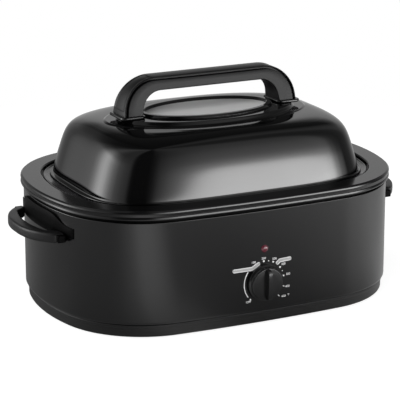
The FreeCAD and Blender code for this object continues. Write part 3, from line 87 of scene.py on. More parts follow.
# ---- sizes and colours ----
def length(label, default, description):
    return FloatProperty(name=label, description=description, default=default, min=0.0, unit="LENGTH",
                         subtype="DISTANCE", precision=4)


def plain(label, default, description):
    return FloatProperty(name=label, description=description, default=default, min=0.0)


def colour(label, default, description):
    return FloatVectorProperty(name=label, description=description, default=default, size=3, min=0.0, max=1.0,
                               subtype="COLOR")


class RoasterHousing(bpy.types.PropertyGroup):
    half_length: length("Ring half length", (RING_HIGH.x - RING_LOW.x) / 2, "Middle to the ring's end")
    half_width: length("Ring half width", (RING_HIGH.y - RING_LOW.y) / 2, "Middle to the ring's long side")
    side_radius: length("Side radius", 2.025, "Radius of the ring's long sides")
    end_radius: length("End radius", 0.330, "Radius of the ring's ends")
    corner_radius: length("Corner radius", 0.148, "Radius of the ring's corners")
    ring_width: length("Ring width", 0.031, "Width of the ring's flat top")
    wall_inset: length("Wall inset", 0.0045, "How far the wall stands in from the ring")
    base_inset: length("Base inset", 0.009, "How far the base stands in from the ring")
    rim_gap: length("Pan rim gap", 0.003, "Gap between the recess and the pan's rim")
    pan_at_ends: length("Pan set in at ends", 0.027, "How far the pan's wall stands in from its rim at the ends")
    pan_at_sides: length("Pan set in at sides", 0.0163, "How far the pan's wall stands in from its rim along the sides")
    pan_depth: length("Pan depth", 0.136, "Depth of the cooking pan")


class RoasterLid(bpy.types.PropertyGroup):
    half_length: length("Dome half length", 0.2197, "Half length of the dome at its foot")
    half_width: length("Dome half width", 0.1553, "Half width of the dome at its foot")
    height: length("Dome height", 0.096, "Height at which the dome's formula closes")
    end_draft: length("End draft", 0.0315, "How far the ends lean in over the dome's height")
    side_draft: length("Side draft", 0.0142, "How far the sides lean in over the dome's height")
    bend_power: plain("Bend power", 9.0, "Higher values keep the wall straight for longer")
    bend_share: plain("Bend share", 0.344, "Higher values make the crown rounder")
    sheet: length("Sheet thickness", 0.0012, "Thickness of the lid's sheet")
    window_half_length: length("Window half length", 0.100, "Half length of the window's opening")
    window_half_width: length("Window half width", 0.054, "Half width of the window's opening")


class RoasterArch(bpy.types.PropertyGroup):
    outer_radius: length("Outer radius", 0.052, "Radius of the arch's outer corners")
    inner_radius: length("Inner radius", 0.030, "Radius of the arch's inner corners")
    lean: length("Lean", 0.0055, "How far each leg leans in over its height")
    leg: length("Leg width", 0.030, "Width of each leg seen from the front")
    bar: length("Bar height", 0.0215, "Height of the arch's bar")
    foot_depth: length("Foot half depth", 0.0227, "Half the depth of the arch at its feet")
    bar_depth: length("Bar half depth", 0.0150, "Half the depth of the arch at its top")
    groove: length("Groove depth", 0.0070, "Depth of the groove between face and strip")


class RoasterFinishes(bpy.types.PropertyGroup):
    enamel: colour("Lid enamel", (0.0018, 0.0018, 0.0019), "High-gloss enamel of the lid")
    paint: colour("Housing paint", (0.0032, 0.0032, 0.0034), "Satin paint of the wall and ring")
    moulding: colour("Moulding", (0.0055, 0.0055, 0.0057), "Matt moulding of the grips and arch")
    knob: colour("Knob", (0.0050, 0.0050, 0.0053), "Semi-gloss moulding of the knob")
    marks: colour("Dial marks", (0.80, 0.80, 0.80), "Printed marks round the knob")
    lamp: colour("Lamp lens", (0.105, 0.008, 0.020), "Lens of the indicator lamp")


class RoasterStudio(bpy.types.PropertyGroup):
    front: plain("Front panel", 12.0, "Radiance at the foot of the panel that the lid's front mirrors")
    left: plain("Left panel", 5.0, "Radiance of the panel that the lid's left end mirrors")
    room: plain("Room", 1.0, "Radiance of the pale room and back wall")
    # Strength of the floor's painted light: its glow at the brightest bearing, which also carries the painted shadow
    # near the object
    floor: plain("Floor", 1.3, "Radiance of the floor's brightest bearing")
    floor_seen: plain("Floor as seen", 0.9, "Glow that makes the floor white to the eye")
    key: plain("Key lamp", 45.0, "Power of the soft key lamp in watts")


# ---- forms: arrays of points and faces ----
class Form:
    """Points (n, 3) and faces, a list of (m, 3) and (m, 4) arrays of point numbers."""

    def __init__(self, points, faces):
        self.points = np.asarray(points, float)
        self.faces = [face for face in faces if len(face)]

    def outward(self):
        """Sums the signed volume of the tetrahedra from the mean point to each face's triangles; where the
        sum is negative every face is turned over, so that faces of a closed form point outwards."""
        volume = 0.0
        middle = self.points.mean(0)
        for face in self.faces:
            corner = self.points[face] - middle
            for k in range(1, face.shape[1] - 1):
                volume += (corner[:, 0] * np.cross(corner[:, k], corner[:, k + 1])).sum()
        if volume < 0:
            self.faces = [face[:, ::-1] for face in self.faces]
        return self

    def __add__(self, other):
        shift = len(self.points)
        return Form(np.vstack([self.points, other.points]), self.faces + [face + shift for face in other.faces])

    def moved(self, x, y):
        return Form(self.points + (x, y, 0), self.faces)

    def mirrored(self):
        """The form reflected in the plane x = 0, with each face's order turned round."""
        return Form(self.points * (-1, 1, 1), [face[:, ::-1] for face in self.faces])


def together(forms):
    whole = forms[0]
    for form in forms[1:]:
        whole = whole + form
    return whole


def skin(grid, ring=False):
    """Closed form over a (rows, columns, 3) grid whose columns run round: one quad for each cell between
    neighbouring grid points.  With ring the rows run round too; otherwise each end row is closed by
    triangles to the mean of its own points."""
    rows, columns = grid.shape[:2]
    row = np.arange(rows if ring else rows - 1)[:, None]
    column = np.arange(columns)[None, :]
    here = row * columns
    on = (row + 1) % rows * columns
    beside = (column + 1) % columns
    cells = np.stack([here + column, here + beside, on + beside, on + column], -1).reshape(-1, 4)
    points = grid.reshape(-1, 3)
    faces = [cells]
    if not ring:
        first = np.arange(columns)
        last = first + (rows - 1) * columns
        tip = np.full(columns, rows * columns)
        faces += [np.stack([np.roll(first, -1), first, tip], -1), np.stack([last, np.roll(last, -1), tip + 1], -1)]
        points = np.vstack([points, grid[0].mean(0), grid[-1].mean(0)])
    return Form(points, faces).outward()


def rounded(corners, closed=True, steps=5, keep=0.0004):
    """Polyline through (u, v, radius) corners.  Each radius becomes a tangent arc of equal angle steps, and a
    further point stands just beyond each end of the arc, so that flats stay flat in smooth shading."""
    count = len(corners)
    line = []
    for index, (u, v, radius) in enumerate(corners):
        here = np.array([u, v])
        inside = closed or 0 < index < count - 1
        if radius <= 0 or not inside:
            line.append(here[None])
            continue
        before = np.array(corners[index - 1][:2]) - here
        after = np.array(corners[(index + 1) % count][:2]) - here
        room = min(np.linalg.norm(before), np.linalg.norm(after))
        before, after = before / np.linalg.norm(before), after / np.linalg.norm(after)
        half = math.acos(np.clip(before @ after, -1, 1)) / 2
        reach = radius / math.tan(half)
        bisector = (before + after) / np.linalg.norm(before + after)
        centre = here + bisector * radius / math.sin(half)
        start = here + before * reach - centre
        stop = here + after * reach - centre
        turn = np.linspace(0, 1, steps + 1)[:, None] * (math.pi - 2 * half)
        side = (stop - start * math.cos(math.pi - 2 * half)) / math.sin(math.pi - 2 * half)
        arc = centre + start * np.cos(turn) + side * np.sin(turn)
        extra = min(keep, 0.2 * max(room - reach, 0))
        line.append(np.vstack([arc[0] + before * extra, arc, arc[-1] + after * extra]))
    return np.vstack(line)


def in_mm(corners):
    return [(u * MM, v * MM, radius * MM) for u, v, radius in corners]


def swept(base, out, profile):
    """Grid rows: point = base + outward * u at height v, for each (u, v) of the profile."""
    flat = base[None] + out[None] * profile[:, :1, None]
    height = np.broadcast_to(profile[:, 1, None, None], (*flat.shape[:2], 1))
    return np.concatenate([flat, height], -1)


def eased(value):
    """0 below 0, 1 above 1, and 3t^2 - 2t^3 between."""
    t = np.clip(value, 0, 1)
    return t * t * (3 - 2 * t)


class Oval:
    """Stations round an oval of tangent arcs: its points, and the outward direction at each."""

    COUNTS = (20, 44, 64, 44, 20)

    def __init__(self, half_length, half_width, side_radius, end_radius, corner_radius):
        self.values = np.array([half_length, half_width, side_radius, end_radius, corner_radius])
        self.base, self.out = self.stations()

    def inset(self, distance):
        return Oval(*(self.values - distance))

    def drawn_in(self, at_ends, at_sides):
        return Oval(*(self.values - (at_ends, at_sides, at_sides, at_ends, at_sides)))

    def stations(self):
        """A corner arc's centre lies (side radius - corner radius) from the side arc's centre and
        (end radius - corner radius) from the end arc's centre.  Each arc is centre + radius * (cos, sin) over
        equal steps of its angle; a half turn of the first half gives the second half."""
        half_length, half_width, side_radius, end_radius, corner_radius = self.values
        side = np.array([0, half_width - side_radius])
        end = np.array([half_length - end_radius, 0])
        span = np.linalg.norm(end - side)
        unit = (end - side) / span
        far, near = side_radius - corner_radius, end_radius - corner_radius
        along = (far ** 2 - near ** 2 + span ** 2) / (2 * span)
        corner = side + unit * along + np.array([unit[1], -unit[0]]) * math.sqrt(far ** 2 - along ** 2)
        low = math.atan2(*(corner - end)[::-1])
        high = math.atan2(*(corner - side)[::-1])
        left = corner * (-1, 1)
        arcs = [(end, end_radius, 0, low), (corner, corner_radius, low, high),
                (side, side_radius, high, math.pi - high), (left, corner_radius, math.pi - high, math.pi - low),
                (-end, end_radius, math.pi - low, math.pi)]
        base, out = [], []
        for (centre, radius, start, stop), count in zip(arcs, self.COUNTS):
            angle = np.linspace(start, stop, count, endpoint=False)
            direction = np.stack([np.cos(angle), np.sin(angle)], -1)
            base.append(centre + radius * direction)
            out.append(direction)
        base, out = np.vstack(base), np.vstack(out)
        return np.vstack([base, -base]), np.vstack([out, -out])

    def rows(self, profile):
        """The profile carried round the stations, u outwards and v up."""
        return swept(self.base, self.out, profile)

    def side_y(self, x, side):
        """y of the long side's arc at x, in front (-1) or behind (1)."""
        half_width, side_radius = self.values[1], self.values[2]
        return side * (half_width - side_radius + np.sqrt(side_radius ** 2 - x ** 2))

    def end_x(self, y):
        half_length, end_radius = self.values[0], self.values[3]
        return half_length - end_radius + np.sqrt(end_radius ** 2 - y ** 2)


STATIONS = 2 * sum(Oval.COUNTS)


def hoop(half_length, half_width, power, height=0.0, count=STATIONS):
    """Superellipse: each station is the direction (cos t, sin t) times (|cos t|^n + |sin t|^n)^(-1/n),
    stretched by the two half sizes."""
    turn = np.linspace(0, 2 * math.pi, count, endpoint=False)
    u, v = np.cos(turn), np.sin(turn)
    reach = (np.abs(u) ** power + np.abs(v) ** power) ** (-1 / power)
    return np.stack([half_length * u * reach, half_width * v * reach, np.full(count, height)], -1)


def ellipse_rows(half_length, half_width, profile, count=240):
    """Rows over an ellipse: point = (a cos t, b sin t) + u * unit normal (cos t / a, sin t / b), height v."""
    turn = np.linspace(0, 2 * math.pi, count, endpoint=False)
    base = np.stack([half_length * np.cos(turn), half_width * np.sin(turn)], -1)
    normal = np.stack([np.cos(turn) / half_length, np.sin(turn) / half_width], -1)
    normal /= np.linalg.norm(normal, axis=1, keepdims=True)
    return swept(base, normal, profile)


def turned(profile, count=96):
    """Rows of a form turned about the Z axis: (r cos t, r sin t, v) for each (r, v) of the profile."""
    grid = hoop(1.0, 1.0, 2.0, count=count)[None] * profile[:, :1, None]
    grid[..., 2] = profile[:, 1, None]
    return grid


def facing_front(form, x, y, z):
    """A form turned about Z, laid over so that its +Z end points to -Y, then moved."""
    points = form.points
    return Form(np.stack([points[:, 0] + x, y - points[:, 2], points[:, 1] + z], -1), form.faces)


def pebble(low, high, corner, edge):
    """Block with rounded upright corners and rounded top and bottom edges: the rounded rectangle's stations
    carried over a profile that runs in, round the edge and up."""
    half_x, half_y = (high[0] - low[0]) / 2 - corner, (high[1] - low[1]) / 2 - corner
    turn = np.linspace(0, math.pi / 2, 7)
    base, out = [], []
    for quarter, (sx, sy) in enumerate([(1, 1), (-1, 1), (-1, -1), (1, -1)]):
        angle = turn + quarter * math.pi / 2
        out.append(np.stack([np.cos(angle), np.sin(angle)], -1))
        base.append(np.broadcast_to((sx * half_x, sy * half_y), (len(turn), 2)))
    base, out = np.vstack(base), np.vstack(out)
    tall = high[2] - low[2]
    inner = -0.8 * corner
    profile = rounded([(inner, 0, 0), (0, 0, edge), (0, tall, edge), (inner, tall, 0)], False)
    middle = np.array([(low[0] + high[0]) / 2, (low[1] + high[1]) / 2, low[2]])
    return skin(swept(base, out, profile + (corner, 0)) + middle)


def wire(path, radius, upright, closed=False, count=14):
    """Round bar: circle points = path + radius * (cos t * upright + sin t * (tangent x upright)), where upright
    stands square to the plane or line of the path."""
    path = np.asarray(path, float)
    if closed:
        tangent = np.roll(path, -1, 0) - np.roll(path, 1, 0)
    else:
        tangent = np.gradient(path, axis=0)
    tangent /= np.linalg.norm(tangent, axis=1, keepdims=True)
    upright = np.broadcast_to(np.asarray(upright, float), path.shape)
    across = np.cross(tangent, upright)
    turn = np.linspace(0, 2 * math.pi, count, endpoint=False)[None, :, None]
    grid = path[:, None] + radius * (np.cos(turn) * upright[:, None] + np.sin(turn) * across[:, None])
    return skin(grid, closed)


def made(name, form, body, finish, nodes=()):
    """Puts a form into a mesh object, moved to the housing's axis, and hands it to its body."""
    loops = np.concatenate([face.ravel() for face in form.faces]).astype(np.int32)
    sides = np.concatenate([np.full(len(face), face.shape[1]) for face in form.faces])
    starts = np.concatenate([[0], np.cumsum(sides)[:-1]]).astype(np.int32)
    points = form.points + (0, AXIS_Y, 0)
    mesh = bpy.data.meshes.new(name)
    mesh.vertices.add(len(points))
    mesh.vertices.foreach_set("co", points.astype(np.float32).ravel())
    mesh.loops.add(len(loops))
    mesh.loops.foreach_set("vertex_index", loops)
    mesh.polygons.add(len(sides))
    mesh.polygons.foreach_set("loop_start", starts)
    mesh.polygons.foreach_set("use_smooth", np.ones(len(sides), bool))
    mesh.update(calc_edges=True)
    mesh.validate()
    mesh.set_sharp_from_angle(angle=math.radians(CREASE))
    mesh.materials.append(finish)
    piece = bpy.data.objects.new(name, mesh)
    bpy.context.scene.collection.objects.link(piece)
    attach(piece, body)
    if nodes:
        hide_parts(*nodes)
    return piece


# ---- finishes: shader maths as expressions ----
class Wire:
    """A socket of a node tree.  Arithmetic on it adds Math nodes and gives the result's socket."""

    def __init__(self, tree, socket):
        self.tree = tree
        self.socket = socket

    def maths(self, operation, first, second):
        return self.tree.node("ShaderNodeMath", {"operation": operation}, {0: first, 1: second})

    def __add__(self, other):
        return self.maths("ADD", self, other)

    def __sub__(self, other):
        return self.maths("SUBTRACT", self, other)

    def __rsub__(self, other):
        return self.maths("SUBTRACT", other, self)

    def __mul__(self, other):
        return self.maths("MULTIPLY", self, other)

    def __pow__(self, other):
        return self.maths("POWER", self, other)

    __radd__ = __add__
    __rmul__ = __mul__


class Tree:
    """A node tree that is filled by expressions."""

    def __init__(self, owner):
        owner.use_nodes = True
        self.tree = owner.node_tree
        self.tree.nodes.clear()

    def node(self, kind, settings=None, sockets=None, out=0):
        """Adds a node: its settings first, then the value or link of each socket."""
        node = self.tree.nodes.new(kind)
        for name, value in (settings or {}).items():
            if name == "stops":
                self.ramp(node.color_ramp, value)
            else:
                setattr(node, name, value)
        for key, value in (sockets or {}).items():
            if isinstance(value, Wire):
                self.tree.links.new(value.socket, node.inputs[key])
            else:
                node.inputs[key].default_value = value
        return Wire(self, node.outputs[out]) if len(node.outputs) else node

    def surface(self, sockets):
        shader = self.node("ShaderNodeBsdfPrincipled", None, sockets)
        self.node("ShaderNodeOutputMaterial", None, {0: shader})

    def ramp(self, ramp, stops):
        while len(ramp.elements) < len(stops):
            ramp.elements.new(1.0)
        for element, (place, level) in zip(ramp.elements, stops):
            element.position = place
            element.color = (level, level, level, 1)

    def place(self):
        return self.node("ShaderNodeTexCoord", out=3)

    def noise(self, scale, detail=3.0, stretch=(1, 1, 1)):
        spot = self.node("ShaderNodeMapping", None, {0: self.place(), "Scale": stretch})
        return self.node("ShaderNodeTexNoise", None, {"Vector": spot, "Scale": scale, "Detail": detail})

    def mixed(self, factor, first, second):
        return self.node("ShaderNodeMix", {"data_type": "RGBA"}, {0: factor, 6: first, 7: second}, out=2)

    def levels(self, value, stops):
        return self.node("ShaderNodeValToRGB", {"stops": stops}, {0: value})

    def bump(self, height, depth):
        return self.node("ShaderNodeBump", None, {"Strength": 1.0, "Distance": depth, "Height": height})


def shade(base, factor):
    return tuple(min(1.0, value * factor) for value in base[:3]) + (1.0,)


def finish(name, base, roughness, *, drift=0.12, smear=0.04, smear_size=9.0, grain_size=900.0, grain_depth=0.00002,
           stretch=(1, 1, 1), **constants):
    """A coated or moulded surface.  Slow noise drifts the colour and smears the roughness, as handling and
    uneven coating do, and fine noise lifts the surface by the grain's depth."""
    material = bpy.data.materials.new(name)
    tree = Tree(material)
    slow = tree.noise(smear_size, 4.0)
    fine = tree.noise(grain_size, 2.0, stretch)
    sockets = {
        "Base Color": tree.mixed(slow, shade(base, 1 - drift), shade(base, 1 + drift)),
        "Roughness": roughness + smear * (slow - 0.5) + 0.5 * smear * (fine - 0.5),
        "Normal": tree.bump(fine, grain_depth),
    }
    sockets.update(constants)
    tree.surface(sockets)
    return material


def speckled(name, base, speck, roughness):
    """Porcelain enamel with fine pale specks: the specks are the cores of Voronoi cells that a second noise
    lets through, over a slow drift of the ground colour."""
    material = bpy.data.materials.new(name)
    tree = Tree(material)
    cells = tree.node("ShaderNodeTexVoronoi", None, {"Vector": tree.place(), "Scale": 420.0})
    patchy = tree.noise(60.0, 3.0)
    slow = tree.noise(7.0, 4.0)
    core = tree.levels(cells, [(0.10, 1.0), (0.24, 0.0)])
    shown = core * tree.levels(patchy, [(0.47, 0.0), (0.58, 1.0)])
    ground = tree.mixed(slow, shade(base, 0.8), shade(base, 1.25))
    peel = tree.noise(260.0, 2.0)
    tree.surface({
        "Base Color": tree.mixed(shown, ground, (*speck, 1.0)),
        "Roughness": roughness + 0.08 * (slow - 0.5),
        "Normal": tree.bump(peel, 0.00003)})
    return material


def brushed(name, base, roughness, stretch=(1, 1, 1), metallic=1.0, grain=900.0, depth=0.00001):
    """Bare metal: noise stretched along the rolling direction streaks the roughness and the surface, and slow
    noise dulls the colour in patches."""
    material = bpy.data.materials.new(name)
    tree = Tree(material)
    streak = tree.noise(grain, 3.0, stretch)
    slow = tree.noise(14.0, 4.0)
    tree.surface({
        "Base Color": tree.mixed(slow, shade(base, 0.82), shade(base, 1.08)),
        "Metallic": metallic,
        "Roughness": roughness + 0.16 * (streak - 0.5) + 0.10 * (slow - 0.5),
        "Normal": tree.bump(streak, depth)})
    return material


def fibrous(name, base):
    """Mineral-fibre blanket: two stretched noises cross to make matted fibres, which set colour and relief."""
    material = bpy.data.materials.new(name)
    tree = Tree(material)
    one = tree.noise(700.0, 5.0, (1, 1, 0.12))
    two = tree.noise(500.0, 5.0, (0.15, 0.15, 1))
    mat = one * two * 2.0
    tree.surface({
        "Base Color": tree.mixed(mat, shade(base, 0.6), shade(base, 1.15)),
        "Roughness": 0.95,
        "Normal": tree.bump(mat, 0.0006)})
    return material


def pane(name, tint, smear):
    """Tempered glass seen at a slant: a pale ground colour that is a painted reflection of the pale light round it,
    under a weak, blurred gloss with faint smears.
    """
    return finish(name, tint, 0.40, drift=0.03, smear=smear, smear_size=16.0, grain_size=40.0, grain_depth=0.0,
                  IOR=1.10)


FINISHES = {}


def finishes():
    """Every finish by name, made once."""
    if FINISHES:
        return FINISHES
    tint = bpy.context.scene.roaster_finishes
    FINISHES.update({
        "enamel": finish("gloss_enamel", tint.enamel, 0.07, smear=0.02, smear_size=6.0, grain_size=240.0,
                         grain_depth=0.000004, IOR=1.5),
        "paint": finish("satin_paint", tint.paint, 0.17, smear=0.03, smear_size=5.0, grain_size=1500.0,
                        grain_depth=0.00001, IOR=1.5),
        "ring": finish("satin_ring_paint", tint.paint, 0.13, smear=0.02, smear_size=7.0, grain_size=1500.0,
                       grain_depth=0.000005, IOR=1.42),
        "moulding": finish("matt_moulding", tint.moulding, 0.36, smear=0.06, smear_size=20.0, grain_size=2600.0,
                           grain_depth=0.00003, IOR=1.42),
        "arch": finish("arch_moulding", tint.moulding, 0.34, smear=0.05, smear_size=20.0, grain_size=2600.0,
                       grain_depth=0.00002, IOR=1.29),
        # Near-black copy of the enamel that stands in for shade: painted shade for the hollow behind the grips and the
        # gap under the ring.
        "shadow": finish("painted_shade_moulding", shade(tint.enamel, 0.4), 0.45, smear=0.08, smear_size=20.0,
                         grain_size=2600.0, grain_depth=0.00003, IOR=1.12),
        "base": finish("base_moulding", tint.enamel, 0.36, smear=0.06, smear_size=12.0, grain_size=2200.0,
                       grain_depth=0.00003),
        "knob": finish("knob_moulding", tint.knob, 0.24, smear=0.06, smear_size=30.0, grain_size=1800.0,
                       grain_depth=0.00001),
        "marks": finish("dial_print", tint.marks, 0.55, drift=0.04, smear=0.08, smear_size=60.0, grain_depth=0.0),
        "plain_strip": finish("dial_strip", (0.42, 0.42, 0.42), 0.55, drift=0.10, smear=0.08, smear_size=90.0,
                              grain_depth=0.0),
        "lens": finish("lamp_lens", tint.lamp, 0.16, drift=0.3, smear=0.04, smear_size=300.0, grain_size=900.0,
                       grain_depth=0.00001, **{"Coat Weight": 1.0, "Coat Roughness": 0.05}),
        # The pane's pale ground is a painted reflection: it stands in for the pale light that the glass mirrors at a
        # slant.
        "glass": pane("pane_painted_reflection", (0.60, 0.60, 0.60), 0.03),
        "pan": speckled("pan_enamel", (0.012, 0.012, 0.013), (0.25, 0.25, 0.26), 0.18),
        "plated": brushed("plated_wire", (0.70, 0.70, 0.71), 0.20, grain=300.0),
        "zinc": brushed("zinc_plate", (0.52, 0.53, 0.55), 0.38),
        "galvanised": brushed("galvanised_sheet", (0.50, 0.51, 0.53), 0.42, (1, 1, 0.2), grain=120.0),
        "aluminium": brushed("bright_sheet", (0.72, 0.73, 0.75), 0.28, (0.1, 1, 1), grain=400.0),
        "sheath": brushed("element_sheath", (0.10, 0.09, 0.085), 0.55, metallic=0.7),
        "brass": brushed("brass", (0.60, 0.44, 0.20), 0.34),
        "blanket": fibrous("mineral_fibre", (0.62, 0.58, 0.44)),
        "phenolic": finish("phenolic_moulding", (0.060, 0.040, 0.030), 0.45, drift=0.3, smear=0.1),
        "rubber": finish("foot_rubber", (0.018, 0.018, 0.018), 0.75, smear=0.1, smear_size=80.0, grain_depth=0.00006),
        "leads": finish("braided_leads", (0.55, 0.54, 0.50), 0.8, drift=0.25, smear_size=400.0, grain_depth=0.0002),
        "seal": finish("seal_rubber", (0.25, 0.25, 0.25), 0.6, smear_size=60.0),
        "bulb": finish("bulb_glass", (0.70, 0.34, 0.22), 0.10, drift=0.2, smear_size=400.0, grain_depth=0.0),
    })
    return FINISHES


CARRIED_OVER = {
    "zinc": "base_posts well_spacers tie_screws element_clips thermostat_nut thermostat_shaft sensing_bulb "
            "bulb_clip gland_nut side_screws handle_backing handle_washers handle_screws window_retainer",
    "galvanised": "heat_well",
    "aluminium": "heat_shield",
    "blanket": "insulation_wrap",
    "sheath": "heating_element",
    "phenolic": "thermostat lamp_holder terminal_block",
    "brass": "capillary_tube terminal_screws",
    "bulb": "neon_lamp",
    "base": "cord_gland",
    # The rim spacer takes the painted-shade finish, so that the gap under the ring reads black.
    "shadow": "rim_spacer",
    "rubber": "rubber_feet",
    "leads": "internal_wiring",
    "seal": "window_seal",
}


# ---- housing ----
def ring_oval():
    size = bpy.context.scene.roaster_housing
    return Oval(size.half_length, size.half_width, size.side_radius, size.end_radius, size.corner_radius)


def wall_oval():
    return ring_oval().inset(bpy.context.scene.roaster_housing.wall_inset)


def rim_oval():
    size = bpy.context.scene.roaster_housing
    return ring_oval().inset(size.ring_width + size.rim_gap)


def pan_oval():
    size = bpy.context.scene.roaster_housing
    return rim_oval().drawn_in(size.pan_at_ends, size.pan_at_sides)


def top_ring():
    """Folded ring: a closed section with a lower roll, a sunk upright band, an upper roll, the flat top and the
    recess with its ledge, carried round the oval."""
    top = RING_HIGH.z / MM
    ledge = top - 8.1
    width = bpy.context.scene.roaster_housing.ring_width / MM
    section = [(-14, top - 15.2, 0), (-7.0, top - 15.2, 0.5), (-7.0, top - 14.2, 0.4), (-0.6, top - 14.2, 1.4),
               (0.0, top - 12.4, 1.0), (-0.4, top - 9.8, 0.7), (-1.3, top - 9.4, 0.4), (-1.3, top - 5.4, 0.4),
               (0.0, top - 4.8, 0.7), (-0.4, top - 2.1, 1.0),
               (-2.6, top, 1.4), (-width, top, 2.0), (-width, ledge, 0.5),
               (-width - 10, ledge, 0), (-width - 10, ledge - 1.4, 0), (-width + 1.5, ledge - 1.4, 0),
               (-width + 1.5, top - 1.5, 0.6), (-1.5, top - 1.5, 1.1), (-1.5, top - 13.7, 0.5), (-14, top - 13.7, 0)]
    return skin(ring_oval().rows(rounded(in_mm(section))), ring=True)


def housing_wall():
    """Wrapper: an upright wall with a rounded foot and top, turned in at both ends, carried round its oval."""
    low, top = WALL_LOW.z / MM, WALL_HIGH.z / MM
    section = [(-14, low, 0), (0, low, 5.0), (0, top, 0.9), (-12, top, 0), (-12, top - 1, 0), (-1, top - 1, 0.4),
               (-1, low + 1, 4.0), (-14, low + 1, 0)]
    return skin(wall_oval().rows(rounded(in_mm(section))), ring=True)


def base_tray():
    """Base: a skirt with a step at its top and a rounded foot, a floor that closes in to the vent field, bars
    across that field, and four bosses."""
    size = bpy.context.scene.roaster_housing
    low, top = 2.0, WALL_LOW.z / MM
    oval = ring_oval().inset(size.base_inset)
    outside = rounded(in_mm([(-30, low, 0), (0, low, 4.0), (0, top - 4.6, 0.5), (1.3, top - 4.0, 0.5), (1.3, top, 0.9),
                             (-5, top, 0)]), False)
    inside = rounded(in_mm([(-5, top - 2, 0), (-2, top - 2, 0), (-2, low + 2, 2.0), (-30, low + 2, 0)]), False)
    field = [hoop(0.034, 0.040, 10, z * MM) for z in (low + 2, low)]
    rows = np.concatenate([oval.rows(outside), oval.rows(inside), np.stack(field)])
    bars = [pebble((-0.0345, y - 0.0039, low * MM), (0.0345, y + 0.0039, (low + 2) * MM), 0.0008, 0.0004)
            for y in np.arange(-36, 37, 12) * MM]
    boss = skin(turned(rounded(in_mm([(3.2, 5.0, 0), (3.2, 8, 0), (9, 8, 0.6), (9, 3.9, 0), (4.9, 3.9, 0)]))), True)
    spots = [(x, y) for x in (-0.150, 0.150) for y in (-0.088, 0.088)]
    return together([skin(rows, True)] + bars + [boss.moved(x, y) for x, y in spots])


def dish(rim, wall, floor, top, sheet, foot_radius, draft, bead):
    """Deep dish: a floor, a rounded foot, a drafted wall and a flat rim that ends in a rolled bead.  The rim's
    rows follow the rim's oval and the rest follow the wall's oval; under side first, then the upper side."""
    under = rounded([(-0.06, floor - sheet, 0), (sheet - draft, floor - sheet, foot_radius + sheet),
                     (sheet, top - sheet, 0.0028), (0.006, top - sheet, 0)], False, 7)
    upper = rounded([(0.006, top, 0), (0, top, 0.004), (-draft, floor, foot_radius), (-0.06, floor, 0)], False, 7)
    turn = np.linspace(-0.75 * math.pi, 0.8 * math.pi, 12)
    middle = top - sheet / 2
    roll = np.stack([-bead + bead * np.cos(turn), middle + bead * np.sin(turn)], -1)
    edge = np.array([[-2 * bead - 0.0008, top - sheet]]), np.array([[-2 * bead - 0.0008, top]])
    rows = [wall.rows(under), rim.rows(edge[0]), rim.rows(roll), rim.rows(edge[1]), wall.rows(upper)]
    return skin(np.concatenate(rows))


def cooking_pan():
    size = bpy.context.scene.roaster_housing
    top = RING_HIGH.z - PAN_RIM_DROP
    return dish(rim_oval(), pan_oval(), top - size.pan_depth, top, 0.0012, 0.020, 0.003, 0.0018)


def heat_well():
    """The liner under the pan: the same dish, wider by the pan's clearance, with a plain thin rim."""
    size = bpy.context.scene.roaster_housing
    top = RING_HIGH.z - LINER_RIM_DROP
    floor = RING_HIGH.z - PAN_RIM_DROP - size.pan_depth - 0.0062
    rim, wall = rim_oval().inset(0.0012), pan_oval().inset(-0.0037)
    return dish(rim, wall, floor, top, 0.001, 0.014, 0.0001, 0.0005)


def roasting_rack():
    """Wire rack: an oval rail, cross bars, feet and two upright loops, each a round bar along its own path."""
    oval = pan_oval().inset(0.0165)
    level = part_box("roasting_rack")[0].z - 0.0003 + 0.016
    rail = np.column_stack([oval.base, np.full(len(oval.base), level)])
    forms = [wire(rail, 0.0025, (0, 0, 1), True)]
    last = oval.values[0] - 0.040
    right = oval.base[:, 1] >= 0
    order = np.argsort(oval.base[right, 0])
    edge_x, edge_y = oval.base[right, 0][order], oval.base[right, 1][order]
    for x in np.linspace(-last, last, 13):
        reach = np.interp(x, edge_x, edge_y)
        bar = np.column_stack([np.full(9, x), np.linspace(-reach, reach, 9), np.full(9, level - 0.001)])
        forms.append(wire(bar, 0.0016, (0, 0, 1)))
    foot_x = last * 8 / 12
    foot_y = np.interp(foot_x, edge_x, edge_y) - 0.022
    for x in (-foot_x, foot_x):
        for y in (-foot_y, foot_y):
            foot = np.array([(x, y, z) for z in np.linspace(level - 0.0157, level - 0.001, 6)])
            forms.append(wire(foot, 0.0020, (1, 0, 0)))
    half, rise, bend = 0.042, 0.062, 0.014
    loop = rounded([(-half, level, 0), (-half, level + rise, bend), (half, level + rise, bend), (half, level, 0)],
                   False, 10)
    for side in (-1, 1):
        x = side * oval.end_x(half)
        forms.append(wire(np.column_stack([np.full(len(loop), x), loop]), 0.0021, (1, 0, 0)))
    return together(forms)


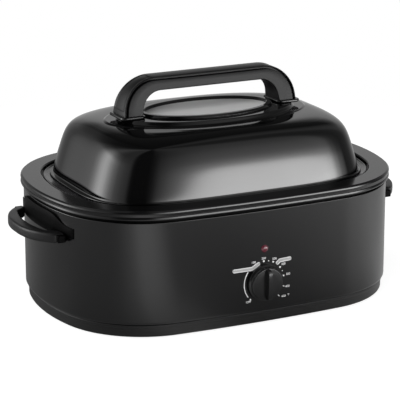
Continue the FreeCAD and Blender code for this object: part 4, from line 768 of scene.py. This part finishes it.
# ---- side grips ----
def side_grip():
    """Right-hand grip: a crescent shelf swept between an inner and an outer edge, two legs and a plate that
    follows the wall.  The outer edge falls as a power of the distance from the middle.  The inner edge is an arc
    that turns in to the plate at both ends.  The shelf's section is a rounded rectangle between the two."""
    wall = wall_oval()
    reach = GRIP_HIGH.x
    low, high = GRIP_LOW.z, GRIP_LOW.z + 0.016
    bow, half, width, tip = 0.0305, 0.080, 0.019, 0.007
    spread = np.linspace(-1, 1, 61)
    ends = (1 - np.abs(spread) ** 16) ** 0.5
    y = half * spread

    def arc(middle, drop):
        radius = (half ** 2 + drop ** 2) / (2 * drop)
        return middle - radius + np.sqrt(radius ** 2 - y ** 2)

    outer = reach - bow * np.abs(spread) ** 2.6
    inner = arc(reach - width, bow - width + tip) - 0.011 * eased((np.abs(y) - 0.055) / 0.013)
    centre = (outer + inner) / 2
    span = (outer - inner) / 2 * (0.55 + 0.45 * ends)
    tall = (high - low) / 2 * (0.75 + 0.25 * ends)
    turn = np.linspace(0, 2 * math.pi, 48, endpoint=False)
    u = np.sign(np.cos(turn)) * np.abs(np.cos(turn)) ** 0.42
    v = np.sign(np.sin(turn)) * np.abs(np.sin(turn)) ** 0.42
    grid = np.stack(np.broadcast_arrays(centre[:, None] + span[:, None] * u, y[:, None],
                                        (low + high) / 2 + tall[:, None] * v), -1)
    shelf = skin(grid)
    legs = []
    x_low = wall.end_x(0.074) + 0.0004
    for side in (-1, 1):
        mid = side * (half + 0.0015)
        legs.append(pebble((x_low, mid - 0.0055, low + 0.0025), (reach - bow - 0.003, mid + 0.0055, high - 0.0025),
                           0.002, 0.0015))
    return shelf, together([grip_plate(wall, high - 0.007)] + legs)


def grip_plate(wall, low):
    """Plate on the wall's end: across, the wall's arc; upwards, from the lower edge to an upper edge that falls
    from the middle to both ends.  Its outside stands 4 mm off the wall in the middle, 1.3 mm beyond 80 mm, and
    rounds to the wall at every edge."""
    half, thick, thin = 0.098, 0.0040, 0.0002
    y = np.linspace(-1, 1, 81) * half
    share = np.abs(y) / half
    top = low + 0.015 + 0.016 * (1 / (1 + np.exp((share - 0.68) * 14)))
    section = np.array([(thin, 0.0), (0.0026, 0.0), (0.0036, 0.012), (thick, 0.05), (thick, 0.35), (thick, 0.65),
                        (thick, 0.95), (0.0036, 0.988), (0.0026, 1.0), (thin, 1.0)])
    ends = (1 - np.abs(y / half) ** 40) * (1 - 0.7 * eased((np.abs(y) - 0.050) / 0.030))
    stand = section[None, :, 0] * ends[:, None] + thin * (1 - ends[:, None])
    radius = wall.values[3]
    centre = wall.values[0] - radius
    angle = np.arcsin(y / radius)[:, None]
    x = centre + (radius + stand) * np.cos(angle)
    across = (radius + stand) * np.sin(angle)
    z = low + (top - low)[:, None] * section[None, :, 1]
    return skin(np.stack([x, across, z], -1))


# ---- controls ----
def heat_knob():
    """Knob: a turned body with a thin skirt, a stepped waist and a domed face, and a grip bar across the face
    whose sides lean in and whose top is crowned along its length."""
    back, tip = -KNOB_HIGH.y, -KNOB_LOW.y
    depth = tip - back
    face = 11.0
    profile = rounded(in_mm([(0, 0, 0), (27.5, 0, 0), (27.5, 3.4, 1.0), (25.6, 4.8, 0.6), (25.0, 5.4, 0.4),
                             (24.4, face - 0.4, 1.7), (16, face + 0.25, 8), (0.4, face + 0.5, 0)]), False)
    body = skin(turned(profile, 128))
    along = np.linspace(-1, 1, 41)
    half_long = 0.0238 * along
    lift = (depth - (face - 2) * MM) * (1 - 0.16 * np.abs(along) ** 2.5) * (1 - np.abs(along) ** 14) ** 0.4
    across = 0.0042 * (1 - np.abs(along) ** 10) ** 0.5 + 0.0002
    section = rounded([(-1, 0, 0), (1, 0, 0), (0.70, 1, 0.14), (-0.70, 1, 0.14)], True, 4)
    grid = np.stack(np.broadcast_arrays(section[None, :, 0] * across[:, None], half_long[:, None],
                                        (face - 2) * MM + section[None, :, 1] * lift[:, None]), -1)
    bar = skin(grid)
    return facing_front(body + bar, 0, KNOB_HIGH.y - AXIS_Y, KNOB_LOW.z + KNOB_RADIUS)


def lamp_lens():
    """Lens: a shallow dome on a thin flange, and the barrel through the wall, turned about one axis."""
    middle = (LENS_LOW.z + LENS_HIGH.z) / 2
    barrel = LENS_HIGH.y - LENS_LOW.y - 0.0032
    turn = np.linspace(0.06, math.pi / 2, 12)
    dome = np.stack([0.0053 * np.cos(turn[::-1] - 0.06), 0.0006 + 0.0026 * np.sin(turn[::-1])], -1)[::-1]
    profile = np.vstack([np.array([[0.0005, -barrel], [0.0045, -barrel], [0.0045, 0], [0.0057, 0], [0.0057, 0.0005],
                                   [0.0054, 0.0007]]), dome])
    return facing_front(skin(turned(profile, 48)), 0, LENS_LOW.y + 0.0032 - AXIS_Y, middle)


def lettering(words, size):
    """Flat raised letters about their own middle, read from the built-in typeface and welded."""
    curve = bpy.data.curves.new("words", "FONT")
    curve.body = words
    curve.size = size
    curve.extrude = 0.00006
    curve.offset = 0.00008
    curve.align_x = "CENTER"
    curve.align_y = "CENTER"
    curve.resolution_u = 3
    holder = bpy.data.objects.new("words", curve)
    bpy.context.scene.collection.objects.link(holder)
    bpy.context.view_layer.update()
    mesh = bpy.data.meshes.new_from_object(holder.evaluated_get(bpy.context.evaluated_depsgraph_get()))
    mesh.calc_loop_triangles()
    points = np.empty(len(mesh.vertices) * 3)
    mesh.vertices.foreach_get("co", points)
    faces = np.empty(len(mesh.loop_triangles) * 3, int)
    mesh.loop_triangles.foreach_get("vertices", faces)
    bpy.data.objects.remove(holder)
    bpy.data.curves.remove(curve)
    bpy.data.meshes.remove(mesh)
    points = points.reshape(-1, 3)
    whole, number = np.unique(np.round(points, 7), axis=0, return_inverse=True)
    faces = number.reshape(-1)[faces.reshape(-1, 3)]
    real = (faces[:, 0] != faces[:, 1]) & (faces[:, 1] != faces[:, 2]) & (faces[:, 2] != faces[:, 0])
    return Form(whole, [faces[real]])


def ribbon(path, width, thick=0.00012):
    """Flat strip along a path in the XY plane, with round ends: each station's two edges stand half the width
    to either side, and the half width follows a circle within half a width of each end."""
    path = np.asarray(path, float)
    step = np.linalg.norm(np.diff(path, axis=0), axis=1)
    run = np.concatenate([[0], np.cumsum(step)])
    half = width / 2
    fine = np.unique(np.concatenate([np.linspace(0, run[-1], 60), half * (1 - np.cos(np.linspace(0, 1.57, 7))),
                                     run[-1] - half * (1 - np.cos(np.linspace(0, 1.57, 7)))]))
    line = np.column_stack([np.interp(fine, run, path[:, 0]), np.interp(fine, run, path[:, 1])])
    tangent = np.gradient(line, fine, axis=0)
    tangent /= np.linalg.norm(tangent, axis=1, keepdims=True)
    side = np.column_stack([-tangent[:, 1], tangent[:, 0]])
    into = np.clip(np.minimum(fine, run[-1] - fine) / half, 0.02, 1)
    reach = (half * np.sqrt(1 - (1 - into) ** 2))[:, None] * side
    low, high = np.full((len(fine), 1), -thick / 2), np.full((len(fine), 1), thick / 2)
    grid = np.stack([np.hstack([line - reach, low]), np.hstack([line + reach, low]),
                     np.hstack([line + reach, high]), np.hstack([line - reach, high])], 1)
    return skin(grid)


def on_wall(form, lift=0.00012):
    """Lays a flat form (x across, y up) on the front wall: y becomes height, and depth follows the wall's arc."""
    x, up, thick = form.points.T
    depth = wall_oval().side_y(x, -1) - lift - thick
    return Form(np.stack([x, depth, up], -1), form.faces)


def dial_point(angle, radius):
    """A place on the dial: angle in degrees clockwise from straight up."""
    centre = KNOB_LOW.z + KNOB_RADIUS
    turn = math.radians(angle)
    return radius * math.sin(turn), centre + radius * math.cos(turn)


def dial_marks():
    """Figures, dots, ticks and the low-heat arc round the knob, and the frames of the two plain strips."""
    forms = []
    for words, angle, radius in (("OFF", -136, 37.4), ("150", -29, 37.2), ("200", -2, 36.6), ("250", 26, 37.4),
                                 ("300", 53, 39.3), ("350", 80, 40.2), ("400", 107, 40.4), ("450", 129, 41.5)):
        x, z = dial_point(angle, radius * MM)
        forms.append(lettering(words, 0.0047).moved(x, z))
    x, z = dial_point(122, 0.0476)
    forms.append(lettering("°F", 0.0040).moved(x, z))
    coin = skin(turned(rounded(in_mm([(0.1, -0.06, 0), (1.25, -0.06, 0), (1.25, 0.06, 0), (0.1, 0.06, 0)]), False), 20))
    for angle, radius, size in ((-136, 32.6, 1.0), (-28, 32.6, 0.8), (-2, 32.4, 1.15), (12, 32.6, 0.75),
                                (26, 32.6, 1.15), (53, 32.4, 1.15), (66, 32.6, 0.6), (80, 32.6, 1.15)):
        x, z = dial_point(angle, radius * MM)
        forms.append(Form(coin.points * (size, size, 1), coin.faces).moved(x, z))
    for angle in (108, 135):
        ends = [dial_point(angle, radius) for radius in (0.0322, 0.0356)]
        forms.append(ribbon(np.linspace(*ends, 5), 0.0013))
    arc = np.array([dial_point(angle, 0.0329) for angle in np.linspace(-127, -54, 40)])
    forms.append(ribbon(arc, 0.0015))
    forms += [ribbon(line, 0.0058) for line in strip_lines()]
    return together([on_wall(form) for form in forms])


def strip_lines():
    lift = KNOB_LOW.z + KNOB_RADIUS - 0.0635
    left = np.array([(-0.0520, 0.0868), (-0.0204, 0.0868), (-0.0075, 0.0941)])
    right = np.array([(0.0449, 0.0942), (0.0250, 0.0933), (0.0197, 0.0881)])
    return left + (0, lift), right + (0, lift)


def dial_strips():
    """Two plain strips laid over their frames."""
    return together([on_wall(ribbon(line, 0.0036), 0.00022) for line in strip_lines()])


# ---- lid ----
def dome_sizes(share):
    """Half length, half width and power of the dome's outline at a share h of its height.  The sides are their
    foot's size less draft times h, and close in by (1 - h^p)^s.  At the ends sqrt(h^2 + e^2) - e takes the place
    of h, which leaves them upright at their foot, and the closing in is raised to END_FULLNESS.  The power falls
    as the wall bends over."""
    size = bpy.context.scene.roaster_lid
    lean = np.hypot(share, END_EASE) - END_EASE
    out = np.clip(1 - share ** size.bend_power, 1e-9, 1) ** size.bend_share
    power = FOOT_POWER - CROWN_DROP * np.clip((1 - out) / 0.234, 0, 1.12)
    long = (size.half_length - size.end_draft * lean) * out ** END_FULLNESS
    return long, (size.half_width - size.side_draft * share) * out, power


def dome_height(x, y):
    """Height of the dome over (x, y): halving finds the share h at which the outline passes through it."""
    size = bpy.context.scene.roaster_lid
    low, high = np.zeros_like(x), np.full_like(x, 0.9999)
    for _ in range(40):
        share = (low + high) / 2
        half_length, half_width, power = dome_sizes(share)
        outside = (np.abs(x) / half_length) ** power + (np.abs(y) / half_width) ** power > 1
        high = np.where(outside, share, high)
        low = np.where(outside, low, share)
    return LID_FOOT + size.height * low


def lid_top(x, y):
    """Height of the lid's top: the dome, softly limited to a plane, then two oval steps.  Each step blends to
    its own plane over a few millimetres inside its edge."""
    top = LID_HIGH.z
    plane, soft = top - 0.0057, 0.0016
    height = -soft * np.logaddexp(-dome_height(x, y) / soft, -plane / soft)
    for half_length, half_width, level, run in ((0.165, 0.092, top - 0.0052, 0.0042), (0.146, 0.081, top, 0.0050)):
        ratio = np.sqrt((x / half_length) ** 2 + (y / half_width) ** 2)
        inside = (1 - ratio) * np.hypot(x, y) / np.maximum(ratio, 1e-6)
        height = height + (level - height) * eased(inside / run)
    return height


def lid_dome():
    """The lid's sheet.  Outside rows run from the flange's rolled edge over the flange and up the drafted wall,
    over the crown, and across the top's two steps to the window's hole; the inside follows the same rows one
    sheet's thickness in along the normal."""
    size = bpy.context.scene.roaster_lid
    rows = []
    flange_length, flange_width, flange_power = 0.2290, 0.1583, 3.5
    for inset, height in ((0.0, -0.0003), (0.0001, 0.0002), (0.0004, 0.0006), (0.0009, 0.0007), (0.0014, 0.0004),
                          (0.0017, 0.0001)):
        rows.append(hoop(flange_length - inset, flange_width - inset, flange_power, LID_FOOT + height))
    for outset, height in ((0.0011, 0.0001), (0.0008, 0.0003), (0.0005, 0.0007), (0.0002, 0.0013), (0.0, 0.0020)):
        half_length, half_width, power = dome_sizes(np.array(height / size.height))
        rows.append(hoop(float(half_length) + outset, float(half_width) + outset, float(power), LID_FOOT + height))
    shares = list(np.linspace(0.04, 0.52, 14))
    turns = np.linspace(math.asin(0.54 ** (size.bend_power / 2)), 1.05, 60)
    shares += [math.sin(turn) ** (2 / size.bend_power) for turn in turns]
    last = None
    for share in shares:
        half_length, half_width, power = dome_sizes(np.array(share))
        if half_length < 0.178:
            break
        last = (float(half_length), float(half_width), float(power))
        rows.append(hoop(*last, LID_FOOT + size.height * share))
    steps = [np.linspace(last, (*STEP_FOOT, 2.0), 19)[1:]]
    edges = [STEP_FOOT, (0.158, 0.085), (0.1475, 0.0825), (0.1395, 0.0745), (0.112, 0.066), (0.1032, 0.0572)]
    for start, stop, count in zip(edges[:-1], edges[1:], (15, 4, 15, 6, 3)):
        steps.append(np.column_stack([np.linspace(start, stop, count + 1)[1:], np.full(count, 2.0)]))
    for half_length, half_width, power in np.vstack(steps):
        row = hoop(half_length, half_width, power)
        row[:, 2] = lid_top(row[:, 0], row[:, 1])
        rows.append(row)
    outside = np.stack(rows)
    across = np.roll(outside, -1, 1) - np.roll(outside, 1, 1)
    along = np.gradient(outside, axis=0)
    normal = np.cross(across, along)
    normal /= np.linalg.norm(normal, axis=2, keepdims=True)
    inside = outside - normal * size.sheet
    return skin(np.concatenate([outside, inside[::-1]]), ring=True)


def window_surround():
    """Raised ring round the window: a rounded section standing on the lid's top, carried round the ellipse."""
    size = bpy.context.scene.roaster_lid
    low, glass = LID_HIGH.z / MM, LID_HIGH.z / MM - PANE_SINK + 0.02
    section = rounded(in_mm([(0, glass, 0), (9, low, 0.3), (9, low + 1.2, 1.0), (6.6, low + 3.9, 1.4),
                             (0.5, low + 4.0, 0.4), (0, low + 3.6, 0.2)]))
    return skin(ellipse_rows(size.window_half_length, size.window_half_width, section), ring=True)


def lid_window():
    """Pane: a flat oval disc with a small rounded edge.  Inside its edge the rows are ellipses of the opening's
    own shape that shrink evenly to the middle."""
    size = bpy.context.scene.roaster_lid
    top, under = LID_HIGH.z / MM - PANE_SINK, LID_HIGH.z / MM - 2.5
    section = rounded(in_mm([(0, under, 0), (3, under, 0.4), (3, top, 0.4), (0, top, 0)]), False)
    edge = ellipse_rows(size.window_half_length, size.window_half_width, section)
    shrink = np.linspace(0.02, 0.9, 8)[:, None, None] * (1, 1, 0) + (0, 0, 1)
    return skin(np.concatenate([edge[0] * shrink, edge, edge[-1] * shrink[::-1]]))


# ---- arch and its plates ----
def arch_line(foot, top, foot_x, radius, lean, counts):
    """One edge of the arch from the right foot to the left: a leaning leg, a tangent corner arc and half the
    bar, then the same mirrored."""
    up = np.array([-lean, top - foot])
    up /= np.linalg.norm(up)
    corner = np.array([foot_x - lean, top])
    half = math.acos(np.clip(up @ np.array([1.0, 0.0]), -1, 1)) / 2
    reach = radius / math.tan(half)
    start = corner - up * reach
    centre = start + np.array([-up[1], up[0]]) * radius
    first = np.linspace((foot_x, foot), start, counts[0], endpoint=False)
    swing = math.pi - 2 * half
    turn = math.atan2(*(start - centre)[::-1]) + np.linspace(0, swing, counts[1], endpoint=False)
    bend = centre + radius * np.stack([np.cos(turn), np.sin(turn)], -1)
    bar = np.linspace(corner - (reach, 0), (0, top), counts[2])
    right = np.vstack([first, bend, bar])
    return np.vstack([right, right[-2::-1] * (-1, 1)])


def carry_arch():
    """Arch: each station is a line from the inner edge to the outer edge, and the section round it is a rounded
    rectangle that stands half a depth to either side.  The depth falls with height.  A groove runs just inside
    the outer edge on both faces, the outer side is crowned, and each leg's outer side has a shallow panel.  A
    row of the section is (share of the line, offset along it, share of the half depth, offset from it)."""
    size = bpy.context.scene.roaster_arch
    foot, top = ARCH_LOW.z, ARCH_HIGH.z
    counts = (44, 40, 36)
    outer_x = ARCH_HIGH.x
    outer = arch_line(foot, top - 0.0012, outer_x, size.outer_radius, size.lean, counts)
    inner = arch_line(foot, top - size.bar, outer_x - size.leg, size.inner_radius, size.lean, counts)
    span = outer - inner
    thick = np.linalg.norm(span, axis=1)
    unit = span / thick[:, None]
    bend = np.linspace(0, math.pi / 2, 6)
    small, large = 0.0022, 0.0014
    groove = [(-0.0062, 0), (-0.0057, 0.02), (-0.0054, 0.08), (-0.0052, 1), (-0.0020, 1), (-0.0018, 0.08),
              (-0.0016, 0.02), (-0.0015, 0)]
    face = [(0.0, small * (1 - math.sin(a)), 1.0, -small * (1 - math.cos(a))) for a in bend[::-1]]
    face += [(0.0, small + 0.0006, 1.0, 0.0), (0.45, 0.0, 1.0, 0.0)]
    face += [(1.0, offset, 1.0, -share * size.groove) for offset, share in groove]
    face += [(1.0, -large * (1 - math.sin(a)), 1.0, -large * (1 - math.cos(a)) - 0.0003) for a in bend]
    crown = [(1.0, 0.0, share, -large * share) for share in (0.90, 0.80, 0.72, 0.60, 0.40, 0.2)]
    half = np.array(face + crown)
    other = half[::-1] * (1, 1, -1, -1)
    middle = np.array([[1.0, 0.0, 0.0, 0.0]])
    section = np.vstack([half, middle, other])
    along, offset, wide, inward = section.T
    crowned = 0.0012 * (1 - np.abs(wide) ** 2) * (along > 0.99) * (np.abs(offset) < 1e-9)
    reach = along[None] * thick[:, None] + offset[None] + crowned[None]
    spot = inner[:, None] + unit[:, None] * reach[..., None]
    rise = np.clip((spot[..., 1] - foot) / (top - foot), 0, 1)
    deep = size.foot_depth + (size.bar_depth - size.foot_depth) * rise
    side = wide[None] * deep + inward[None]
    steps = np.linalg.norm(np.diff(outer, axis=0), axis=1)
    run = np.concatenate([[0], np.cumsum(steps)])
    run = np.minimum(run, run[-1] - run)
    panel = eased((run - 0.007) / 0.0015) * eased((0.078 - run) / 0.0015)
    within = eased((0.78 * deep - np.abs(side)) / 0.0012) * (along[None] > 0.99) * (np.abs(offset[None]) < 1e-9)
    spot = spot - unit[:, None] * (0.0010 * panel[:, None] * within)[..., None]
    return skin(np.stack([spot[..., 0], side, spot[..., 1]], -1))


def arch_plates():
    """Two rounded plates under the arch's feet."""
    low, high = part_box("handle_collars")
    inner = 0.1105
    plate = pebble((inner, low.y - AXIS_Y, low.z), (high.x, high.y - AXIS_Y, ARCH_LOW.z + 0.0001), 0.0085, 0.0016)
    return plate + plate.mirrored()


# ---- studio ----
# Levels by bearing in degrees, by distance in metres and by height as the sine of the elevation.
# The floor's two tables are painted light. Its glow is brighter towards two bearings as painted pools of light, and
# darker near the object as a painted shadow.
PAINTED_FLOOR_LIGHT_BY_BEARING = [(-180, 0.06), (-144, 0.08), (-108, 0.09), (-92, 0.14), (-61, 0.15), (-53, 0.22), (-43, 0.52),
                    (-35, 1.0), (-25, 1.0), (-17, 0.70), (-8, 0.24), (2, 0.12), (12, 0.13), (26, 0.24), (35, 0.45),
                    (44, 0.84), (60, 0.96), (70, 0.90), (83, 0.60), (95, 0.40), (120, 0.26), (150, 0.12), (180, 0.06)]
PAINTED_FLOOR_SHADE_BY_DISTANCE = [(0.0, 0.25), (0.26, 0.35), (0.45, 0.75), (0.75, 1.0), (FLOOR_RADIUS, 1.0)]
FRONT_BY_BEARING = [(-180, 0.0), (-20, 0.0), (-15, 0.03), (-12, 0.08), (-6, 0.27), (4, 0.50), (11, 0.64), (22, 0.9),
                    (30, 1.0), (47, 1.0), (53, 0.84), (59, 0.38), (66, 0.13), (78, 0.0), (180, 0.0)]
FRONT_BY_HEIGHT = [(-1.0, 0.2), (-0.17, 0.5), (-0.06, 0.9), (-0.012, 1.0), (0.008, 0.85), (0.023, 0.42), (0.038, 0.27),
                   (0.052, 0.22), (0.08, 0.17), (0.12, 0.125), (0.19, 0.10), (0.33, 0.08), (0.45, 0.068),
                   (0.64, 0.047), (0.87, 0.03), (1.0, 0.02)]
LEFT_BY_BEARING = [(-180, 0.02), (-160, 0.04), (-147, 0.18), (-142, 0.36), (-135, 0.75), (-129, 1.0), (-122, 1.0),
                   (-116, 0.78), (-104, 0.42), (-90, 0.18), (-76, 0.09), (-62, 0.03), (-54, 0.0), (180, 0.0)]
LEFT_BY_HEIGHT = [(-1.0, 0.6), (-0.1, 1.0), (0.34, 1.0), (0.48, 0.48), (0.62, 0.24), (0.71, 0.12), (1.0, 0.08)]
ROOM_BY_BEARING = [(-180, 0.30), (-166, 0.12), (-150, 0.08), (-100, 0.20), (-62, 0.34), (-52, 0.06), (-46, 0.03),
                   (-22, 0.03), (-12, 0.08), (0, 0.10), (60, 0.12), (97, 0.17), (118, 0.42), (140, 0.62), (165, 0.62),
                   (180, 0.34)]
BACK_BY_BEARING = [(-180, 1.0), (-160, 0.8), (-135, 0.0), (105, 0.0), (130, 1.0), (180, 1.0)]
BACK_BY_HEIGHT = [(-1.0, 1.0), (0.33, 1.0), (0.43, 0.35), (0.52, 0.08), (1.0, 0.05)]


def ramped(tree, value, stops):
    """Piecewise line over (value, level) stops, from the first stop's value to the last one's."""
    low, high = stops[0][0], stops[-1][0]
    share = (value - low) * (1.0 / (high - low))
    return tree.levels(share, [((place - low) / (high - low), level) for place, level in stops])


def heading(tree, vector):
    """Bearing in degrees, from -Y round towards +X, and the Z part of a vector."""
    parts = tree.node("ShaderNodeSeparateXYZ", None, {0: vector}).socket.node.outputs
    x, y, z = (Wire(tree, part) for part in parts)
    return tree.node("ShaderNodeMath", {"operation": "ARCTAN2"}, {0: x, 1: y * -1.0}) * math.degrees(1), x, y, z


def seen_directly(tree):
    """1 for camera and glass rays, 0 for the rays that light the object and that its gloss sends out."""
    rays = tree.node("ShaderNodeLightPath").socket.node.outputs
    return Wire(tree, rays["Is Camera Ray"]) + Wire(tree, rays["Is Transmission Ray"])


def floor_disc(setting):
    """Pale floor.  Eyes see it white with a faint shadow.  Other rays see a glowing sheet with painted light and shade:
    darker near the object as a painted shadow, and brighter away from it and towards two bearings as painted pools of
    light."""
    mesh = bpy.data.meshes.new("floor")
    rim = hoop(FLOOR_RADIUS, FLOOR_RADIUS, 2.0, count=96)
    mesh.from_pydata(rim.tolist(), [], [list(range(len(rim)))])
    floor = bpy.data.objects.new("floor", mesh)
    bpy.context.scene.collection.objects.link(floor)
    material = bpy.data.materials.new("floor_white_painted_light")
    tree = Tree(material)
    bearing, x, y, _ = heading(tree, tree.place())
    distance = (x * x + y * y) ** 0.5
    # painted light and painted shadow on the floor, given as glow
    painted_floor_light = ramped(tree, bearing, PAINTED_FLOOR_LIGHT_BY_BEARING) * ramped(tree, distance, PAINTED_FLOOR_SHADE_BY_DISTANCE)
    cloud = tree.noise(3.0, 2.0)
    pale = tree.node("ShaderNodeBsdfDiffuse", None, {"Color": tree.mixed(cloud, (0.28, 0.28, 0.28, 1),
                                                                         (0.32, 0.32, 0.32, 1))})
    seen = seen_directly(tree)
    strength = painted_floor_light * setting.floor + seen * (setting.floor_seen - painted_floor_light * setting.floor)
    glow = tree.node("ShaderNodeEmission", None, {"Color": (1, 1, 1, 1), "Strength": strength})
    both = tree.node("ShaderNodeAddShader", None, {0: pale, 1: glow})
    tree.node("ShaderNodeOutputMaterial", None, {0: both})
    mesh.materials.append(material)


def surroundings(scene, setting):
    """Light round the object by direction.  Eyes see plain white.  For the rest: a broad panel in front that is
    brightest at its foot, a panel on the left, a dark gap between them, a pale room and a pale low back wall
    under a dark ceiling."""
    world = bpy.data.worlds.new("surroundings")
    scene.world = world
    tree = Tree(world)
    bearing, _, _, height = heading(tree, tree.node("ShaderNodeTexCoord", out=0))
    front = ramped(tree, bearing, FRONT_BY_BEARING) * ramped(tree, height, FRONT_BY_HEIGHT) * setting.front
    left = ramped(tree, bearing, LEFT_BY_BEARING) * ramped(tree, height, LEFT_BY_HEIGHT) * setting.left
    ceiling = 1.0 - ramped(tree, bearing, BACK_BY_BEARING) * (1.0 - ramped(tree, height, BACK_BY_HEIGHT))
    room = ramped(tree, bearing, ROOM_BY_BEARING) * ceiling * setting.room
    light = front + left + room
    strength = light + seen_directly(tree) * (1.0 - light)
    back = tree.node("ShaderNodeBackground", None, {"Color": (1, 1, 1, 1), "Strength": strength})
    tree.node("ShaderNodeOutputWorld", None, {0: back})


def key_lamp(spot, target, size, power):
    """Soft square lamp overhead that neither eyes nor gloss see."""
    light = bpy.data.lights.new("key_lamp", "AREA")
    light.size = size
    light.energy = power
    holder = bpy.data.objects.new("key_lamp", light)
    bpy.context.scene.collection.objects.link(holder)
    aim(holder, spot, target)
    holder.visible_camera = False
    holder.visible_glossy = False


def aim(holder, spot, target):
    """Stands an object at a spot with its -Z towards a target and +Y upwards."""
    holder.location = spot
    holder.rotation_euler = (Vector(target) - Vector(spot)).to_track_quat("-Z", "Y").to_euler()


def studio_camera(scene):
    view = bpy.data.cameras.new("studio_camera")
    view.lens = CAMERA_LENS
    view.sensor_width = SENSOR_WIDTH
    view.clip_end = CAMERA_REACH
    holder = bpy.data.objects.new("studio_camera", view)
    scene.collection.objects.link(holder)
    aim(holder, CAMERA_SPOT, CAMERA_TARGET)
    scene.camera = holder


# ---- operators ----
class MakeHousing(bpy.types.Operator):
    """Make the wall, the top ring and the base"""
    bl_idname = "roaster.make_housing"
    bl_label = "Housing"

    def execute(self, context):
        look = finishes()
        made("housing_wall", housing_wall(), "housing", look["paint"], ["outer_shell"])
        made("top_ring", top_ring(), "housing", look["ring"], ["rim_ring"])
        made("base_tray", base_tray(), "housing", look["base"], ["base_pan"])
        made("heat_liner", heat_well(), "housing", look["galvanised"], ["heat_well"])
        return {"FINISHED"}


class MakePan(bpy.types.Operator):
    """Make the cooking pan and its rack"""
    bl_idname = "roaster.make_pan"
    bl_label = "Pan and rack"

    def execute(self, context):
        look = finishes()
        made("enamel_pan", cooking_pan(), "pan", look["pan"], ["cooking_pan"])
        made("wire_rack", roasting_rack(), "rack", look["plated"], ["roasting_rack"])
        return {"FINISHED"}


class MakeGrips(bpy.types.Operator):
    """Make the two side grips"""
    bl_idname = "roaster.make_grips"
    bl_label = "Side grips"

    def execute(self, context):
        look = finishes()
        shelf, plate = side_grip()
        made("right_grip", shelf, "housing", look["moulding"], ["side_handle_right"])
        made("left_grip", shelf.mirrored(), "housing", look["moulding"], ["side_handle_left"])
        # The plates are painted shade: near-black, standing in for the shade in the hollow behind each grip.
        made("right_grip_plate", plate, "housing", look["shadow"])
        made("left_grip_plate", plate.mirrored(), "housing", look["shadow"])
        return {"FINISHED"}


class MakeControls(bpy.types.Operator):
    """Make the knob, the dial's marks and the lamp's lens"""
    bl_idname = "roaster.make_controls"
    bl_label = "Controls"

    def execute(self, context):
        look = finishes()
        made("heat_knob", heat_knob(), "knob", look["knob"], ["control_knob"])
        made("lamp_lens", lamp_lens(), "housing", look["lens"], ["indicator_lens"])
        made("dial_marks", dial_marks(), "housing", look["marks"])
        made("dial_strips", dial_strips(), "housing", look["plain_strip"])
        return {"FINISHED"}


class MakeLid(bpy.types.Operator):
    """Make the domed lid and its window"""
    bl_idname = "roaster.make_lid"
    bl_label = "Lid"

    def execute(self, context):
        look = finishes()
        made("lid_dome", lid_dome(), "lid", look["enamel"], ["lid_shell"])
        made("window_surround", window_surround(), "lid", look["enamel"], ["window_trim"])
        made("lid_window", lid_window(), "lid", look["glass"], ["window_glass"])
        return {"FINISHED"}


class MakeArch(bpy.types.Operator):
    """Make the lid's arched handle and its plates"""
    bl_idname = "roaster.make_arch"
    bl_label = "Arched handle"

    def execute(self, context):
        look = finishes()
        made("carry_arch", carry_arch(), "lid", look["arch"], ["lid_handle"])
        made("arch_plates", arch_plates(), "lid", look["enamel"], ["handle_collars"])
        return {"FINISHED"}


class FinishFrame(bpy.types.Operator):
    """Give every carried-over part of the frame its own finish"""
    bl_idname = "roaster.finish_frame"
    bl_label = "Inner parts"

    def execute(self, context):
        look = finishes()
        for key, names in CARRIED_OVER.items():
            for name in names.split():
                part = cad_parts[name]
                part.data.materials.clear()
                part.data.materials.append(look[key])
        return {"FINISHED"}


class MakeStage(bpy.types.Operator):
    """Make the floor, the light round the object, the key lamp and the camera"""
    bl_idname = "roaster.make_stage"
    bl_label = "Stage"

    def execute(self, context):
        setting = context.scene.roaster_studio
        floor_disc(setting)
        surroundings(context.scene, setting)
        key_lamp(KEY_SPOT, KEY_TARGET, KEY_SIZE, setting.key)
        studio_camera(context.scene)
        context.scene.view_settings.view_transform = "Standard"
        return {"FINISHED"}


class RoasterPanel(bpy.types.Panel):
    """Roaster oven pieces and sizes"""
    bl_idname = "VIEW3D_PT_roaster"
    bl_label = "Roaster Oven"
    bl_space_type = "VIEW_3D"
    bl_region_type = "UI"
    bl_category = "Roaster"

    def draw(self, context):
        for name, group in GROUPS.items():
            box = self.layout.box()
            settings = getattr(context.scene, name)
            for key in group.__annotations__:
                box.prop(settings, key)
        for operator in OPERATORS:
            self.layout.operator(operator.bl_idname)


GROUPS = {
    "roaster_housing": RoasterHousing,
    "roaster_lid": RoasterLid,
    "roaster_arch": RoasterArch,
    "roaster_finishes": RoasterFinishes,
    "roaster_studio": RoasterStudio,
}
OPERATORS = (MakeHousing, MakePan, MakeGrips, MakeControls, MakeLid, MakeArch, FinishFrame, MakeStage)


def register():
    for group in (*GROUPS.values(), *OPERATORS, RoasterPanel):
        bpy.utils.register_class(group)
    for name, group in GROUPS.items():
        setattr(bpy.types.Scene, name, PointerProperty(type=group))


def unregister():
    for name in GROUPS:
        delattr(bpy.types.Scene, name)
    for group in reversed((*GROUPS.values(), *OPERATORS, RoasterPanel)):
        bpy.utils.unregister_class(group)


def main():
    register()
    for operator in OPERATORS:
        family, name = operator.bl_idname.split(".")
        getattr(getattr(bpy.ops, family), name)()


if __name__ == "__main__":
    main()
